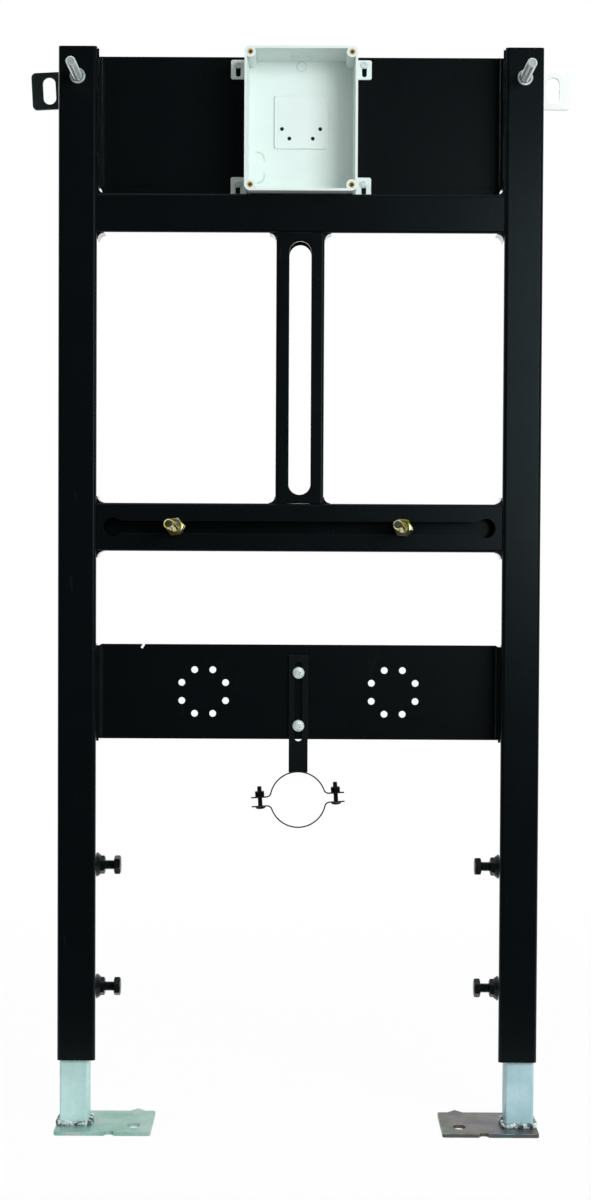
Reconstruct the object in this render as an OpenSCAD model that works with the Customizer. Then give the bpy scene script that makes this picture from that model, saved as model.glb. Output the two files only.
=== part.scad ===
// Installation frame for a wall-hung urinal. Two square posts stand on telescoping legs and
// carry two rails, a slotted bar, two sheet panels, wall fixings, a moulded valve box,
// a pair of urinal bolts and a height-adjustable clamp for the drain pipe.
// X runs to the right, Y runs back to the wall, Z runs up from the floor. Millimetres.

/* [Posts] */
// Width over the outer faces of the two posts
frame_w = 500; // [450:5:600]
// Side of each square post
post_side = 40; // [38:1:46]
// Wall of the post tubes
post_wall = 2; // [1.5:0.25:3]
// Outer corner radius of the post tubes
post_corner_r = 4; // [3:0.5:6]
// Height of the post tops above the floor
post_top_z = 1123; // [1050:1:1200]
// Height of the lower post ends above the floor, as the legs are set
post_low_z = 73; // [70:1:110]

/* [Legs] */
// Side of each square leg tube
leg_side = 30; // [24:1:32]
// Wall of the leg tubes
leg_wall = 2; // [1.5:0.25:3]
// Outer corner radius of the leg tubes
leg_corner_r = 3; // [2:0.5:4]
// Further travel of the legs out of the posts
leg_travel = 130; // [60:5:150]
// Leg length that stays above the upper lock bolt at full travel
leg_grip = 30; // [20:1:60]
// Width of a foot plate
foot_w = 100; // [80:1:120]
// Depth of a foot plate
foot_d = 80; // [60:1:88]
// Thickness of a foot plate
foot_t = 4; // [3:0.5:6]
// How far a foot plate stands out past the post
foot_overhang = 1; // [0:0.5:5]
// Width of the screw slot in a foot plate
foot_slot_w = 13; // [9:0.5:16]
// Length of the screw slot, front to back
foot_slot_l = 17; // [17:0.5:24]
// Distance from the inner end of a foot plate to its screw slot
foot_slot_inset = 19; // [14:1:26]
// Distance from the middle of the leg forwards to the middle of the screw slot
foot_slot_fore = 14.5; // [0:0.5:20]
// Radius of the centring notch in the front edge of a foot plate
foot_notch_r = 5; // [3:0.5:8]
// Distance from the inner end of a foot plate to its centring notch
foot_notch_inset = 43; // [38:1:50]
// Half width of the pointer on the back edge of a foot plate
foot_pointer_half = 9; // [6:0.5:12]
// Length of the pointer on the back edge of a foot plate
foot_pointer_l = 9; // [4:0.5:12]
// Size of the weld bead around the base of a leg
foot_bead = 4; // [3:0.5:5]

/* [Lock bolts] */
// Height of the upper lock bolts above the lower post ends
lock_high = 202; // [180:1:240]
// Height of the lower lock bolts above the lower post ends
lock_low = 74; // [40:1:120]
// Shank seen between a lock bolt's head and its weld nut
lock_stand_off = 9.5; // [6:0.5:14]
// Thickness of the weld nuts
lock_nut_t = 6.7; // [5:0.1:8]
// Thickness of the weld collar under each weld nut
lock_collar_t = 1.7; // [1:0.1:3]
// Largest radius of the weld collar
lock_collar_r = 12; // [11:0.5:14]

/* [Rails] */
// Depth of the rails and of the slotted bar
rail_d = 30; // [25:1:32]
// Set-back of the rails behind the front of the posts
rail_setback = 2; // [1:0.5:3]
// Wall of the rail tubes
rail_wall = 2; // [1.5:0.25:3]
// Outer corner radius of the rail tubes
rail_corner_r = 3; // [2:0.5:5]
// Height of the upper rail
upper_rail_h = 40; // [30:1:50]
// Height of the middle of the mounting rail
mount_rail_z = 629; // [600:1:660]
// Height of the mounting rail
mount_rail_h = 50; // [40:1:60]
// Width of the bolt slot in the mounting rail
bolt_slot_w = 12.6; // [12:0.2:15]
// Diameter of the entry holes at the ends of the bolt slot
entry_d = 20; // [20:0.5:24]
// Distance from the posts to the middle of the entry holes
entry_inset = 17; // [13:0.5:30]
// Width of the slotted bar between the rails
bar_w = 50; // [40:1:60]
// Width of the slot in the bar
bar_slot_w = 22.8; // [16:0.2:28]
// Solid length above and below the slot in the bar
bar_slot_end = 9; // [6:0.5:20]
// Size of the weld fillets in the corners
fillet = 7; // [4:0.5:9]

/* [Panels] */
// Thickness of the sheet panels
sheet_t = 2; // [1.5:0.25:3]
// Depth of the folded end flanges
flange_d = 30; // [20:1:34]
// Outer radius of the folds
fold_r = 4; // [3.5:0.5:6]
// Distance from the post tops down to the top panel's upper edge
top_panel_drop = 2; // [1:0.5:4]
// How far the top panel laps down behind the upper rail
top_panel_lap = 20; // [10:1:30]
// Gap between the upper rail and the lower end of the top panel's flanges
flange_relief = 12; // [10:1:20]
// Height of the drain panel's lower edge
drain_panel_z = 406; // [380:1:430]
// Height of the drain panel
drain_panel_h = 100; // [90:1:120]
// Distance from the middle to each ring of pipe-clip holes
clip_ring_x = 100; // [60:1:150]
// Pitch diameter of the rings of pipe-clip holes
clip_pcd = 50; // [40:1:60]
// Diameter of the pipe-clip holes
clip_hole_d = 7; // [5:0.5:9]
// Distance from the left post to the locating nick in the drain panel
nick_inset = 47; // [30:1:70]
// Width of the locating nick
nick_w = 2.4; // [1.5:0.1:4]
// Depth of the locating nick
nick_depth = 5; // [3:0.5:8]

/* [Wall fixings] */
// Distance from the post tops down to the wall rods
rod_drop = 31; // [25:1:60]
// Diameter of the wall rods
rod_d = 10; // [8:1:12]
// How far the wall rods stand out in front of the posts
rod_reach = 66; // [40:1:90]
// Gap between the posts and the wall brackets
wall_gap = 21; // [18:1:40]
// Thickness of the wall brackets
bracket_t = 3; // [2:0.5:5]
// Height of the wall brackets
bracket_h = 39; // [36:1:50]
// Reach of a wall bracket outwards from its rod
bracket_out = 55; // [52:1:70]
// Reach of a wall bracket inwards from its rod
bracket_in = 20; // [14:1:30]
// Width of the screw slot in a wall bracket
bracket_slot_w = 13.4; // [8:0.2:15]
// Length of the screw slot in a wall bracket
bracket_slot_l = 28.4; // [20:0.2:29]
// Distance from the rod to the screw slot
bracket_slot_x = 36.5; // [34:0.5:38]
// Turn of the left wall bracket about its rod, in degrees
bracket_turn = 3; // [0:0.5:6]
// Outer diameter of the bush in front of each post
bush_d = 16; // [15:0.5:20]
// Inner diameter of the bush
bush_bore = 11.5; // [11:0.1:12]
// How far the bush stands out of the post
bush_t = 2; // [1:0.5:4]

/* [Valve box] */
// Width of the box at its rim
box_w = 116; // [100:1:140]
// Height of the box at its rim
box_h = 147; // [130:0.5:160]
// Distance from the top panel's upper edge down to the top of the box
box_top_gap = 0.7; // [0.5:0.1:3]
// Depth of the box
box_d = 53; // [40:1:70]
// Wall of the box
box_wall = 2.5; // [2:0.25:4]
// Draft of the box walls over the full depth
box_draft = 1.5; // [0.5:0.25:2]
// Corner radius of the box at its rim, also the inset of the corner posts
box_corner_r = 6; // [5.5:0.25:8]
// Diameter of the screw posts in the corners
box_post_d = 11; // [10:0.25:11]
// Outer diameter of the brass inserts
insert_d = 6.3; // [5:0.1:7]
// Thread bore of the brass inserts
insert_bore = 4; // [3:0.1:4.5]
// Length of the brass inserts
insert_l = 10; // [6:1:15]
// Width and height of the raised pad in the box
pad_w = 55; // [45:1:70]
// Height of the raised pad's middle above the middle of the box
pad_rise = 6; // [0:0.5:15]
// Thickness of the raised pad
pad_t = 1.5; // [1:0.25:3]
// Thickness of the side lugs
lug_t = 2.5; // [2:0.25:3]
// Reach of the side lugs past the rim of the box
lug_reach = 15.5; // [14:0.5:20]
// Height of the upper side lugs
lug_h = 20; // [18:0.5:26]
// Width of the slots in the side lugs
lug_slot_w = 5; // [4.6:0.1:5.4]
// How far the lower side lugs lap down behind the upper rail
lug_lap = 13; // [5:1:18]
// Diameter of the box screws' heads
box_screw_head_d = 8; // [7:0.25:9]

/* [Urinal bolts] */
// Distance of the left urinal bolt from the middle
bolt_left_x = 128; // [60:1:160]
// Distance of the right urinal bolt from the middle
bolt_right_x = 108; // [60:1:160]
// Diameter of the urinal bolts
bolt_d = 10; // [8:1:10]
// How far the urinal bolts stand out in front of the rail
bolt_reach = 64; // [40:1:100]
// Sideways lean of the left urinal bolt in its slot, in degrees
lean_left = 3; // [0:0.5:8]
// Sideways lean of the right urinal bolt in its slot, in degrees
lean_right = 8; // [0:0.5:8]
// Upward lean of both urinal bolts in their slot, in degrees
lean_up = 2.5; // [0:0.5:3]

/* [Drain clamp] */
// Inner diameter of the pipe clamp
clamp_d = 57; // [50:1:64]
// Thickness of the clamp bands
clamp_t = 1.5; // [1.5:0.25:2.5]
// Width of the clamp bands, front to back
clamp_w = 20; // [16:1:25]
// Height of the clamp's middle below the drain panel's lower edge
clamp_drop = 62.4; // [60:0.2:90]
// Gap between the ears of the two bands
ear_gap = 8; // [5:0.5:10]
// Radius at which a band bends out into its ear
ear_bend_r = 5; // [4:0.5:7]
// Reach of the ears from the middle of the clamp
ear_reach = 49; // [47:0.5:56]
// Length of the ears past the clamp screws
ear_end = 9; // [6:0.5:9]
// Turn of the clamp about the pipe, in degrees
clamp_turn = 3.7; // [0:0.1:6]
// Width of the hanger strap
strap_w = 20; // [18:1:24]
// Thickness of the hanger strap
strap_t = 3; // [2:0.25:4]
// Distance from the drain panel's upper edge down to the strap's end
strap_top = 11; // [8:1:20]
// Distance from the drain panel's upper edge to the upper hanger bolt
hanger_bolt_drop = 29.6; // [28:0.2:40]
// Distance between the two hanger bolts
hanger_bolt_pitch = 55.8; // [40:0.2:60]
// Diameter of the hanger bolts
hanger_bolt_d = 8; // [6:1:8]
// Upward travel of the hanger on its bolts
hanger_up = 12; // [5:1:14]
// Downward travel of the hanger on its bolts
hanger_down = 8; // [2:1:8]

/* [Hidden] */
$fn = 48;

// Clearances between pieces that slide, turn or sit in a hole
slide_gap = 0.3;
hole_gap = 0.15;
seat_gap = 0.05;
// Length by which a cutting shape stands past the face that it cuts
cut = 1;

// Places of the posts
post_x = frame_w / 2 - post_side / 2;
inner_half = frame_w / 2 - post_side;
post_len = post_top_z - post_low_z;

// Sizes of metric fasteners from their thread diameter
function across_flats(d) = 1.7 * d;
function hex_r(d) = across_flats(d) / 2 / cos(30);
function head_t(d) = 0.68 * d;
function nut_t(d) = 0.8 * d;
function core_r(d) = 0.425 * d;
function tip_chamfer(d) = d / 10;

// Reach of a rod's tip, leaning by two angles, from where its axis leaves the rail
lean_cos_left = cos(lean_left) * cos(lean_up);
lean_cos_right = cos(lean_right) * cos(lean_up);
function tip_reach(c) = bolt_reach * c + bolt_d / 2 * sqrt(1 - c * c);
bolt_front = post_side / 2 - rail_setback + max(tip_reach(lean_cos_left), tip_reach(lean_cos_right));

// Depth of the whole frame about the middle of the posts, which sets where the posts stand
front_reach = max(post_side / 2 + rod_reach, bolt_front, foot_d / 2);
rear_reach = max(post_side / 2 + wall_gap + bracket_t, foot_d / 2 + foot_pointer_l);
post_y = (front_reach - rear_reach) / 2;
post_front = post_y - post_side / 2;
post_back = post_y + post_side / 2;

// Heights at the top, where the box ends level with the panel and stands on the upper rail
top_panel_z = post_top_z - top_panel_drop;
box_z = top_panel_z - box_top_gap - box_h / 2;
upper_rail_z = box_z - box_h / 2 - slide_gap;

// Places of the rails and panels
rail_front = post_front + rail_setback;
rail_y = rail_front + rail_d / 2;
rail_back = rail_front + rail_d;
upper_rail_low = upper_rail_z - upper_rail_h;
mount_rail_top = mount_rail_z + mount_rail_h / 2;
mount_rail_low = mount_rail_z - mount_rail_h / 2;
entry_x = inner_half - entry_inset;
panel_front = post_back - sheet_t;
top_panel_low = upper_rail_z - top_panel_lap;
drain_panel_top = drain_panel_z + drain_panel_h;
drain_panel_mid = drain_panel_z + drain_panel_h / 2;
clip_count = 8;
nick_turn = 30;

// Places of the legs
leg_x = frame_w / 2 - post_wall - slide_gap - leg_side / 2;
leg_top_z = post_low_z + lock_high + leg_travel + leg_grip;
foot_outer_x = frame_w / 2 + foot_overhang;
foot_inner_x = foot_outer_x - foot_w;
foot_corner_r = 3;
lock_tip_x = leg_x - leg_side / 2 - slide_gap;
lock_head_x = inner_half - lock_collar_t - lock_nut_t - lock_stand_off;
lock_d = 10;
thread_end = 2;

// Places of the wall fixings
rod_z = post_top_z - rod_drop;
bracket_front = post_back + wall_gap;
bracket_corner_r = 5;
rod_nut_t = 6;
bush_sleeve_wall = 0.75;
bush_sleeve_r = bush_bore / 2 + bush_sleeve_wall;
bush_sleeve_l = 5;

// Places on the valve box
box_back = panel_front;
box_post_x = box_w / 2 - box_corner_r;
box_post_z = box_h / 2 - box_corner_r;
lug_out = box_w / 2 + lug_reach;
lug_corner_r = 2;
lug_slot_inset = 7.6;
lug_slot_x = lug_out - lug_slot_inset;
lug_slot_end = 2.5;
lug_top_drop = 2.8;
lug_top_z = box_z + box_h / 2 - lug_top_drop;
lug_low_rise = 22.6;
box_screw_d = 4;
box_screw_end = 4;
box_screw_head_t = 2.6;
box_screw_drop = 5;
box_screw_rise = 15.4;
box_screw_high = lug_top_z - box_screw_drop;
box_screw_low = upper_rail_z + box_screw_rise;
knock_d = 20;
knock_small_d = 15;
knock_small_pitch = 1.7 * knock_small_d;
knock_line = 1;
knock_depth = 0.5;
pad_hole_d = 2.8;
pad_hole_wide = 40;
pad_hole_narrow = 24.5;
pad_hole_drop = 7.2;
pad_hole_step = 9.9;

// Places of the urinal bolts, whose heads and nuts clear the rail at their lean
bolt_axis_z = mount_rail_z;
function lean_lift(c) = hex_r(bolt_d) * sqrt(1 - c * c) + slide_gap;

// Places of the drain clamp and its hanger
strap_back = panel_front - slide_gap;
strap_front = strap_back - strap_t;
clamp_y = strap_back - strap_t / 2;
clamp_z = drain_panel_z - clamp_drop;
clamp_r = clamp_d / 2;
clamp_screw_d = 5;
clamp_screw_x = ear_reach - ear_end;
ear_mid = ear_gap / 2 + clamp_t / 2;
band_mid_r = clamp_r + clamp_t / 2;
bend_x = sqrt(pow(band_mid_r + ear_bend_r, 2) - pow(ear_mid + ear_bend_r, 2));
bend_angle = atan2(ear_mid + ear_bend_r, bend_x);
hanger_bolt_high = drain_panel_top - hanger_bolt_drop;
hanger_bolt_low = hanger_bolt_high - hanger_bolt_pitch;
strap_slot_r = hanger_bolt_d / 2 + slide_gap;
strap_slot_top = hanger_bolt_high + hanger_down;
strap_slot_low = hanger_bolt_low - hanger_up;

// Flat shapes

module rounded_rect(w, h, r) {
    square([w - 2 * r, h], center = true);
    square([w, h - 2 * r], center = true);
    for (x = [-1, 1], y = [-1, 1])
        translate([x * (w / 2 - r), y * (h / 2 - r)]) circle(r);
}

module tube_profile(w, h, wall, r) {
    difference() {
        rounded_rect(w, h, r);
        rounded_rect(w - 2 * wall, h - 2 * wall, max(r - wall, 0.5));
    }
}

// Upright slot with round ends, w wide and l long over the ends
module slot_shape(w, l) {
    square([w, l - w], center = true);
    for (y = [-1, 1]) translate([0, y * (l - w) / 2]) circle(w / 2);
}

// Part of a ring from angle a0 to angle a1
module ring_sector(r_in, r_out, a0, a1) {
    far = 2 * r_out;
    mid = (a0 + a1) / 2;
    intersection() {
        difference() {
            circle(r_out);
            circle(r_in);
        }
        polygon([[0, 0], far * [cos(a0), sin(a0)], far * [cos(mid), sin(mid)],
                 far * [cos(a1), sin(a1)]]);
    }
}

// Concave fillet in the corner of the first quadrant
module fillet_shape(r) {
    lip = r / 12;
    difference() {
        square(r);
        translate([r, r]) circle(r - lip);
    }
}

// Solids on an axis

// Moves a piece that was drawn along Z so that it runs forwards, along -Y
module facing_front() {
    rotate([90, 0, 0]) children();
}

// Moves a flat shape that was drawn in X and Y so that it stands in X and Z, t thick to the front
module upright(t) {
    rotate([90, 0, 0]) linear_extrude(t) children();
}

module hex_prism(d, h) {
    cylinder(h = h, r = hex_r(d), $fn = 6);
}

// Nut or bolt head whose far corners are turned off by a cone
module hex_chamfered(d, h) {
    turned = 0.1 * d;
    intersection() {
        hex_prism(d, h);
        union() {
            cylinder(h = h - turned, r = hex_r(d) + cut);
            translate([0, 0, h - turned])
                cylinder(h = turned, r1 = hex_r(d), r2 = hex_r(d) - 2 * turned);
        }
    }
}

// Round rod with a chamfered tip
module tipped_rod(r, l, tip) {
    rotate_extrude() polygon([[0, 0], [r, 0], [r, l - tip], [r - tip, l], [0, l]]);
}

// Square tube on end
module square_tube(side, wall, r, l) {
    linear_extrude(l) tube_profile(side, side, wall, r);
}

// Rail from post to post, its section standing in Y and Z
module rail_tube(h, z) {
    translate([-inner_half, rail_y, z]) rotate([90, 0, 90])
        linear_extrude(2 * inner_half) tube_profile(rail_d, h, rail_wall, rail_corner_r);
}

// Posts

module post(side) {
    translate([side * post_x, post_y, post_low_z]) difference() {
        square_tube(post_side, post_wall, post_corner_r, post_len);
        for (z = [lock_low, lock_high])
            translate([0, 0, z]) rotate([0, -side * 90, 0])
                cylinder(h = post_side / 2 + cut, r = lock_d / 2 + slide_gap);
        translate([0, 0, rod_z - post_low_z]) {
            facing_front() cylinder(h = post_side / 2 + cut, r = bush_sleeve_r + hole_gap);
            rotate([-90, 0, 0]) cylinder(h = post_side / 2 + cut, r = rod_d / 2 + slide_gap);
        }
    }
}

module post_left() {
    color("#15181a") post(-1);
}

module post_right() {
    color("#15181a") post(1);
}

// Rails, bar and their welds

module upper_rail() {
    color("#15181a") rail_tube(upper_rail_h, upper_rail_z - upper_rail_h / 2);
}

module mounting_rail() {
    color("#15181a") difference() {
        rail_tube(mount_rail_h, mount_rail_z);
        translate([0, rail_front + rail_wall + cut, mount_rail_z]) {
            upright(rail_wall + 2 * cut) square([2 * entry_x, bolt_slot_w], center = true);
            for (side = [-1, 1])
                translate([side * entry_x, 0, 0]) facing_front()
                    cylinder(h = rail_wall + 2 * cut, r = entry_d / 2);
        }
    }
}

module slotted_bar() {
    length = upper_rail_low - mount_rail_top;
    color("#15181a") translate([0, rail_y, mount_rail_top]) difference() {
        linear_extrude(length) tube_profile(bar_w, rail_d, rail_wall, rail_corner_r);
        translate([0, rail_d / 2 + cut, length / 2])
            upright(rail_d + 2 * cut) slot_shape(bar_slot_w, length - 2 * bar_slot_end);
    }
}

// Fillet in one corner, running back along the rail. sx and sz point away from the metal.
module weld_fillet(x, z, sx, sz) {
    run = rail_d - 2 * rail_corner_r;
    translate([x, rail_y + run / 2, z]) upright(run) scale([sx, sz]) fillet_shape(fillet);
}

module weld_fillets() {
    color("#1b1e20") for (side = [-1, 1]) {
        for (z = [upper_rail_z, mount_rail_top]) weld_fillet(side * inner_half, z, -side, 1);
        for (z = [upper_rail_low, mount_rail_low]) weld_fillet(side * inner_half, z, -side, -1);
        weld_fillet(side * bar_w / 2, upper_rail_low, side, -1);
        weld_fillet(side * bar_w / 2, mount_rail_top, side, 1);
    }
}

// Panels

// Sheet folded forwards at both ends, seen from above with its back on the X axis
module folded_sheet() {
    square_w = 2 * (inner_half - fold_r);
    translate([-square_w / 2, -sheet_t]) square([square_w, sheet_t]);
    for (side = [-1, 1]) {
        translate([side * (inner_half - sheet_t / 2), -(flange_d + fold_r) / 2])
            square([sheet_t, flange_d - fold_r], center = true);
        translate([side * (inner_half - fold_r), -fold_r])
            ring_sector(fold_r - sheet_t, fold_r, side > 0 ? 0 : 90, side > 0 ? 90 : 180);
    }
}

module top_panel() {
    relief_top = upper_rail_z + flange_relief;
    relief_w = fold_r + sheet_t;
    color("#121416") difference() {
        translate([0, post_back, top_panel_low])
            linear_extrude(top_panel_z - top_panel_low) folded_sheet();
        for (side = [-1, 1]) {
            translate([side * (inner_half - relief_w / 2 + cut / 2), post_back - flange_d / 2,
                       (top_panel_low + relief_top) / 2 - cut / 2])
                cube([relief_w + cut, flange_d + 2 * cut, relief_top - top_panel_low + cut],
                     center = true);
            translate([side * (inner_half - relief_w), post_back + cut, relief_top])
                facing_front() cylinder(h = sheet_t + 2 * cut, r = sheet_t);
            for (z = [box_screw_low, box_screw_high])
                translate([side * lug_slot_x, post_back + cut, z])
                    facing_front() cylinder(h = sheet_t + 2 * cut, r = box_screw_d / 2 + hole_gap);
        }
    }
}

module drain_panel() {
    color("#121416") difference() {
        translate([0, post_back, drain_panel_z]) linear_extrude(drain_panel_h) folded_sheet();
        for (side = [-1, 1], i = [1:clip_count])
            translate([side * clip_ring_x, post_back + cut, drain_panel_mid])
                rotate([0, (i - 0.5) * 360 / clip_count, 0]) translate([clip_pcd / 2, 0, 0])
                    facing_front() cylinder(h = sheet_t + 2 * cut, r = clip_hole_d / 2);
        for (z = [hanger_bolt_low, hanger_bolt_high])
            translate([0, post_back + cut, z])
                facing_front() cylinder(h = sheet_t + 2 * cut, r = hanger_bolt_d / 2 + hole_gap);
        translate([-inner_half + nick_inset, post_back - sheet_t / 2, drain_panel_top])
            rotate([0, nick_turn, 0])
                cube([nick_w, sheet_t + 2 * cut, 2 * nick_depth], center = true);
    }
}

// Wall fixings

module rod_bushes() {
    color("#9aa0a0") for (side = [-1, 1])
        translate([side * post_x, post_front, rod_z]) facing_front() difference() {
            union() {
                cylinder(h = bush_t, r = bush_d / 2);
                translate([0, 0, -bush_sleeve_l]) cylinder(h = bush_sleeve_l, r = bush_sleeve_r);
            }
            translate([0, 0, -bush_sleeve_l - cut])
                cylinder(h = bush_sleeve_l + bush_t + 2 * cut, r = bush_bore / 2);
        }
}

module rod_nuts() {
    color("#9aa0a0") for (side = [-1, 1])
        translate([side * post_x, post_back, rod_z]) rotate([-90, 0, 0]) difference() {
            hex_chamfered(rod_d, rod_nut_t);
            translate([0, 0, -cut]) cylinder(h = rod_nut_t + 2 * cut, r = rod_d / 2 + hole_gap);
        }
}

module wall_rod(side) {
    length = rod_reach + post_side + wall_gap + bracket_t;
    color("#a8adac") translate([side * post_x, bracket_front + bracket_t, rod_z])
        facing_front() tipped_rod(rod_d / 2, length, tip_chamfer(rod_d));
}

module wall_rod_left() {
    wall_rod(-1);
}

module wall_rod_right() {
    wall_rod(1);
}

module wall_bracket(side, turn) {
    width = bracket_out + bracket_in;
    translate([side * post_x, bracket_front + bracket_t, rod_z]) rotate([0, -turn, 0])
        scale([side, 1, 1]) upright(bracket_t) difference() {
            translate([(bracket_out - bracket_in) / 2, 0])
                rounded_rect(width, bracket_h, bracket_corner_r);
            circle(rod_d / 2 + hole_gap);
            translate([bracket_slot_x, 0]) slot_shape(bracket_slot_w, bracket_slot_l);
        }
}

module wall_bracket_left() {
    color("#3c4444") wall_bracket(-1, bracket_turn);
}

module wall_bracket_right() {
    color("#c9d2d2") wall_bracket(1, 0);
}

module bracket_nut(side) {
    color("#a8adac") translate([side * post_x, bracket_front, rod_z]) facing_front() difference() {
        hex_chamfered(rod_d, nut_t(rod_d));
        translate([0, 0, -cut]) cylinder(h = nut_t(rod_d) + 2 * cut, r = rod_d / 2 + hole_gap);
    }
}

module bracket_nut_left() {
    bracket_nut(-1);
}

module bracket_nut_right() {
    bracket_nut(1);
}

// Valve box, drawn with its back on the X and Z plane and its mouth to the front

// Block with rounded corners that opens towards the front by the draft
module drafted_block(w, h, r, depth) {
    hull() for (x = [-1, 1], z = [-1, 1])
        translate([x * (w / 2 - r), z * (h / 2 - r), 0])
            cylinder(h = depth, r1 = r - box_draft, r2 = r, $fn = 32);
}

module box_shell() {
    difference() {
        drafted_block(box_w, box_h, box_corner_r, box_d);
        translate([0, 0, box_wall])
            drafted_block(box_w - 2 * box_wall, box_h - 2 * box_wall, box_corner_r - box_wall,
                          box_d - box_wall + cut / 10);
    }
}

module box_corner_posts() {
    for (x = [-1, 1], z = [-1, 1])
        translate([x * box_post_x, z * box_post_z, box_wall / 2])
            cylinder(h = box_d - box_wall / 2, r = box_post_d / 2);
}

// Ring scored into a wall where a pipe or cable passage can be knocked out
module knock_out(d) {
    difference() {
        cylinder(h = 2 * knock_depth, r = d / 2, center = true);
        cylinder(h = 3 * knock_depth, r = d / 2 - knock_line, center = true);
    }
}

module box_lugs() {
    lug_in = box_w / 2 - box_draft - box_wall;
    upper_z = lug_top_z - box_z - lug_h / 2;
    lower_top = upper_rail_z + lug_low_rise - box_z;
    lower_low = upper_rail_z - lug_lap - box_z;
    for (side = [-1, 1]) difference() {
        union() {
            translate([side * (lug_in + lug_out) / 2, upper_z, 0])
                linear_extrude(lug_t) rounded_rect(lug_out - lug_in, lug_h, lug_corner_r);
            translate([side * (lug_in + lug_out) / 2, (lower_top + lower_low) / 2, 0])
                linear_extrude(lug_t)
                    rounded_rect(lug_out - lug_in, lower_top - lower_low, lug_corner_r);
        }
        translate([side * lug_slot_x, upper_z, -cut])
            linear_extrude(lug_t + 2 * cut) slot_shape(lug_slot_w, lug_h - 2 * lug_slot_end);
        translate([side * lug_slot_x, box_screw_low - box_z, -cut]) linear_extrude(lug_t + 2 * cut) {
            circle(lug_slot_w / 2);
            translate([-lug_slot_w / 2, -lug_h - lug_lap]) square([lug_slot_w, lug_h + lug_lap]);
        }
    }
}

module valve_box() {
    color("#eef6f2") translate([0, box_back, box_z]) facing_front() difference() {
        union() {
            box_shell();
            box_corner_posts();
            box_lugs();
            translate([0, pad_rise, box_wall / 2])
                linear_extrude(box_wall / 2 + pad_t) square(pad_w, center = true);
        }
        for (x = [-1, 1], z = [-1, 1])
            translate([x * box_post_x, z * box_post_z, box_d - insert_l])
                cylinder(h = insert_l + cut, r = insert_d / 2 + seat_gap);
        for (x = [-1, 1]) {
            translate([x * pad_hole_wide / 2, pad_rise - pad_hole_drop, -cut])
                cylinder(h = box_wall + pad_t + 2 * cut, r = pad_hole_d / 2);
            translate([x * pad_hole_narrow / 2, pad_rise - pad_hole_drop - pad_hole_step, -cut])
                cylinder(h = box_wall + pad_t + 2 * cut, r = pad_hole_d / 2);
        }
        translate([0, box_h / 2 - box_wall - box_draft / 2, box_d / 2])
            rotate([90, 0, 0]) knock_out(knock_d);
        for (z = [0, 1])
            translate([-box_w / 2 + box_wall + box_draft / 2,
                       -box_h / 2 + knock_small_d + knock_small_pitch * z, box_d / 2])
                rotate([0, 90, 0]) knock_out(knock_small_d);
    }
}

module box_inserts() {
    color("#a8873c") for (x = [-1, 1], z = [-1, 1])
        translate([x * box_post_x, box_back - box_d + insert_l, box_z + z * box_post_z])
            facing_front() difference() {
                cylinder(h = insert_l, r = insert_d / 2);
                translate([0, 0, -cut]) cylinder(h = insert_l + 2 * cut, r = insert_bore / 2);
            }
}

module box_screws() {
    shank = lug_t + sheet_t + box_screw_end;
    color("#8f9796") for (side = [-1, 1], z = [box_screw_low, box_screw_high])
        translate([side * lug_slot_x, box_back - lug_t, z]) {
            facing_front()
                tipped_rod(box_screw_head_d / 2, box_screw_head_t, tip_chamfer(box_screw_head_d));
            rotate([-90, 0, 0]) cylinder(h = shank, r = box_screw_d / 2);
        }
}

// Urinal bolts, which lean a little in the slot of the mounting rail

module on_bolt_axis(side, x, lean) {
    translate([side * x, rail_front, bolt_axis_z]) rotate([-lean_up, 0, -lean]) children();
}

// Bolt along -Y: hexagon head behind the rail wall, free end in front, and between them the
// core of the thread, on which the nut sits against the free end
module urinal_bolt(lift) {
    head_back = rail_wall + lift + head_t(bolt_d);
    neck_end = lift + nut_t(bolt_d);
    translate([0, head_back, 0]) facing_front() {
        hex_prism(bolt_d, head_t(bolt_d));
        cylinder(h = head_back + neck_end + cut, r = core_r(bolt_d));
    }
    translate([0, -neck_end, 0]) facing_front()
        tipped_rod(bolt_d / 2, bolt_reach - neck_end, tip_chamfer(bolt_d));
}

module urinal_nut(lift) {
    translate([0, -lift, 0]) facing_front() difference() {
        hex_chamfered(bolt_d, nut_t(bolt_d));
        translate([0, 0, -cut])
            cylinder(h = nut_t(bolt_d) + 2 * cut, r = core_r(bolt_d) + hole_gap);
    }
}

module urinal_bolt_left() {
    color("#b39b4e") on_bolt_axis(-1, bolt_left_x, lean_left) urinal_bolt(lean_lift(lean_cos_left));
}

module urinal_bolt_right() {
    color("#b39b4e") on_bolt_axis(1, bolt_right_x, lean_right) urinal_bolt(lean_lift(lean_cos_right));
}

module urinal_nut_left() {
    color("#b39b4e") on_bolt_axis(-1, bolt_left_x, lean_left) urinal_nut(lean_lift(lean_cos_left));
}

module urinal_nut_right() {
    color("#b39b4e") on_bolt_axis(1, bolt_right_x, lean_right) urinal_nut(lean_lift(lean_cos_right));
}

// Lock bolts, which press on the legs through weld nuts on the posts

module at_lock(side, x) {
    for (z = [lock_low, lock_high])
        translate([side * x, post_y, post_low_z + z]) rotate([0, -side * 90, 0]) children();
}

module lock_bolts() {
    color("#1b1e20") for (side = [-1, 1]) at_lock(side, lock_tip_x) {
        cylinder(h = lock_tip_x - lock_head_x, r = lock_d / 2);
        translate([0, 0, lock_tip_x - lock_head_x]) hex_chamfered(lock_d, head_t(lock_d));
    }
}

module lock_nuts() {
    color("#15181a") for (side = [-1, 1]) at_lock(side, inner_half) difference() {
        union() {
            cylinder(h = lock_collar_t, r1 = lock_collar_r, r2 = hex_r(lock_d));
            translate([0, 0, lock_collar_t]) hex_chamfered(lock_d, lock_nut_t);
        }
        translate([0, 0, -cut])
            cylinder(h = lock_collar_t + lock_nut_t + 2 * cut, r = lock_d / 2 + hole_gap);
    }
}

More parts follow.
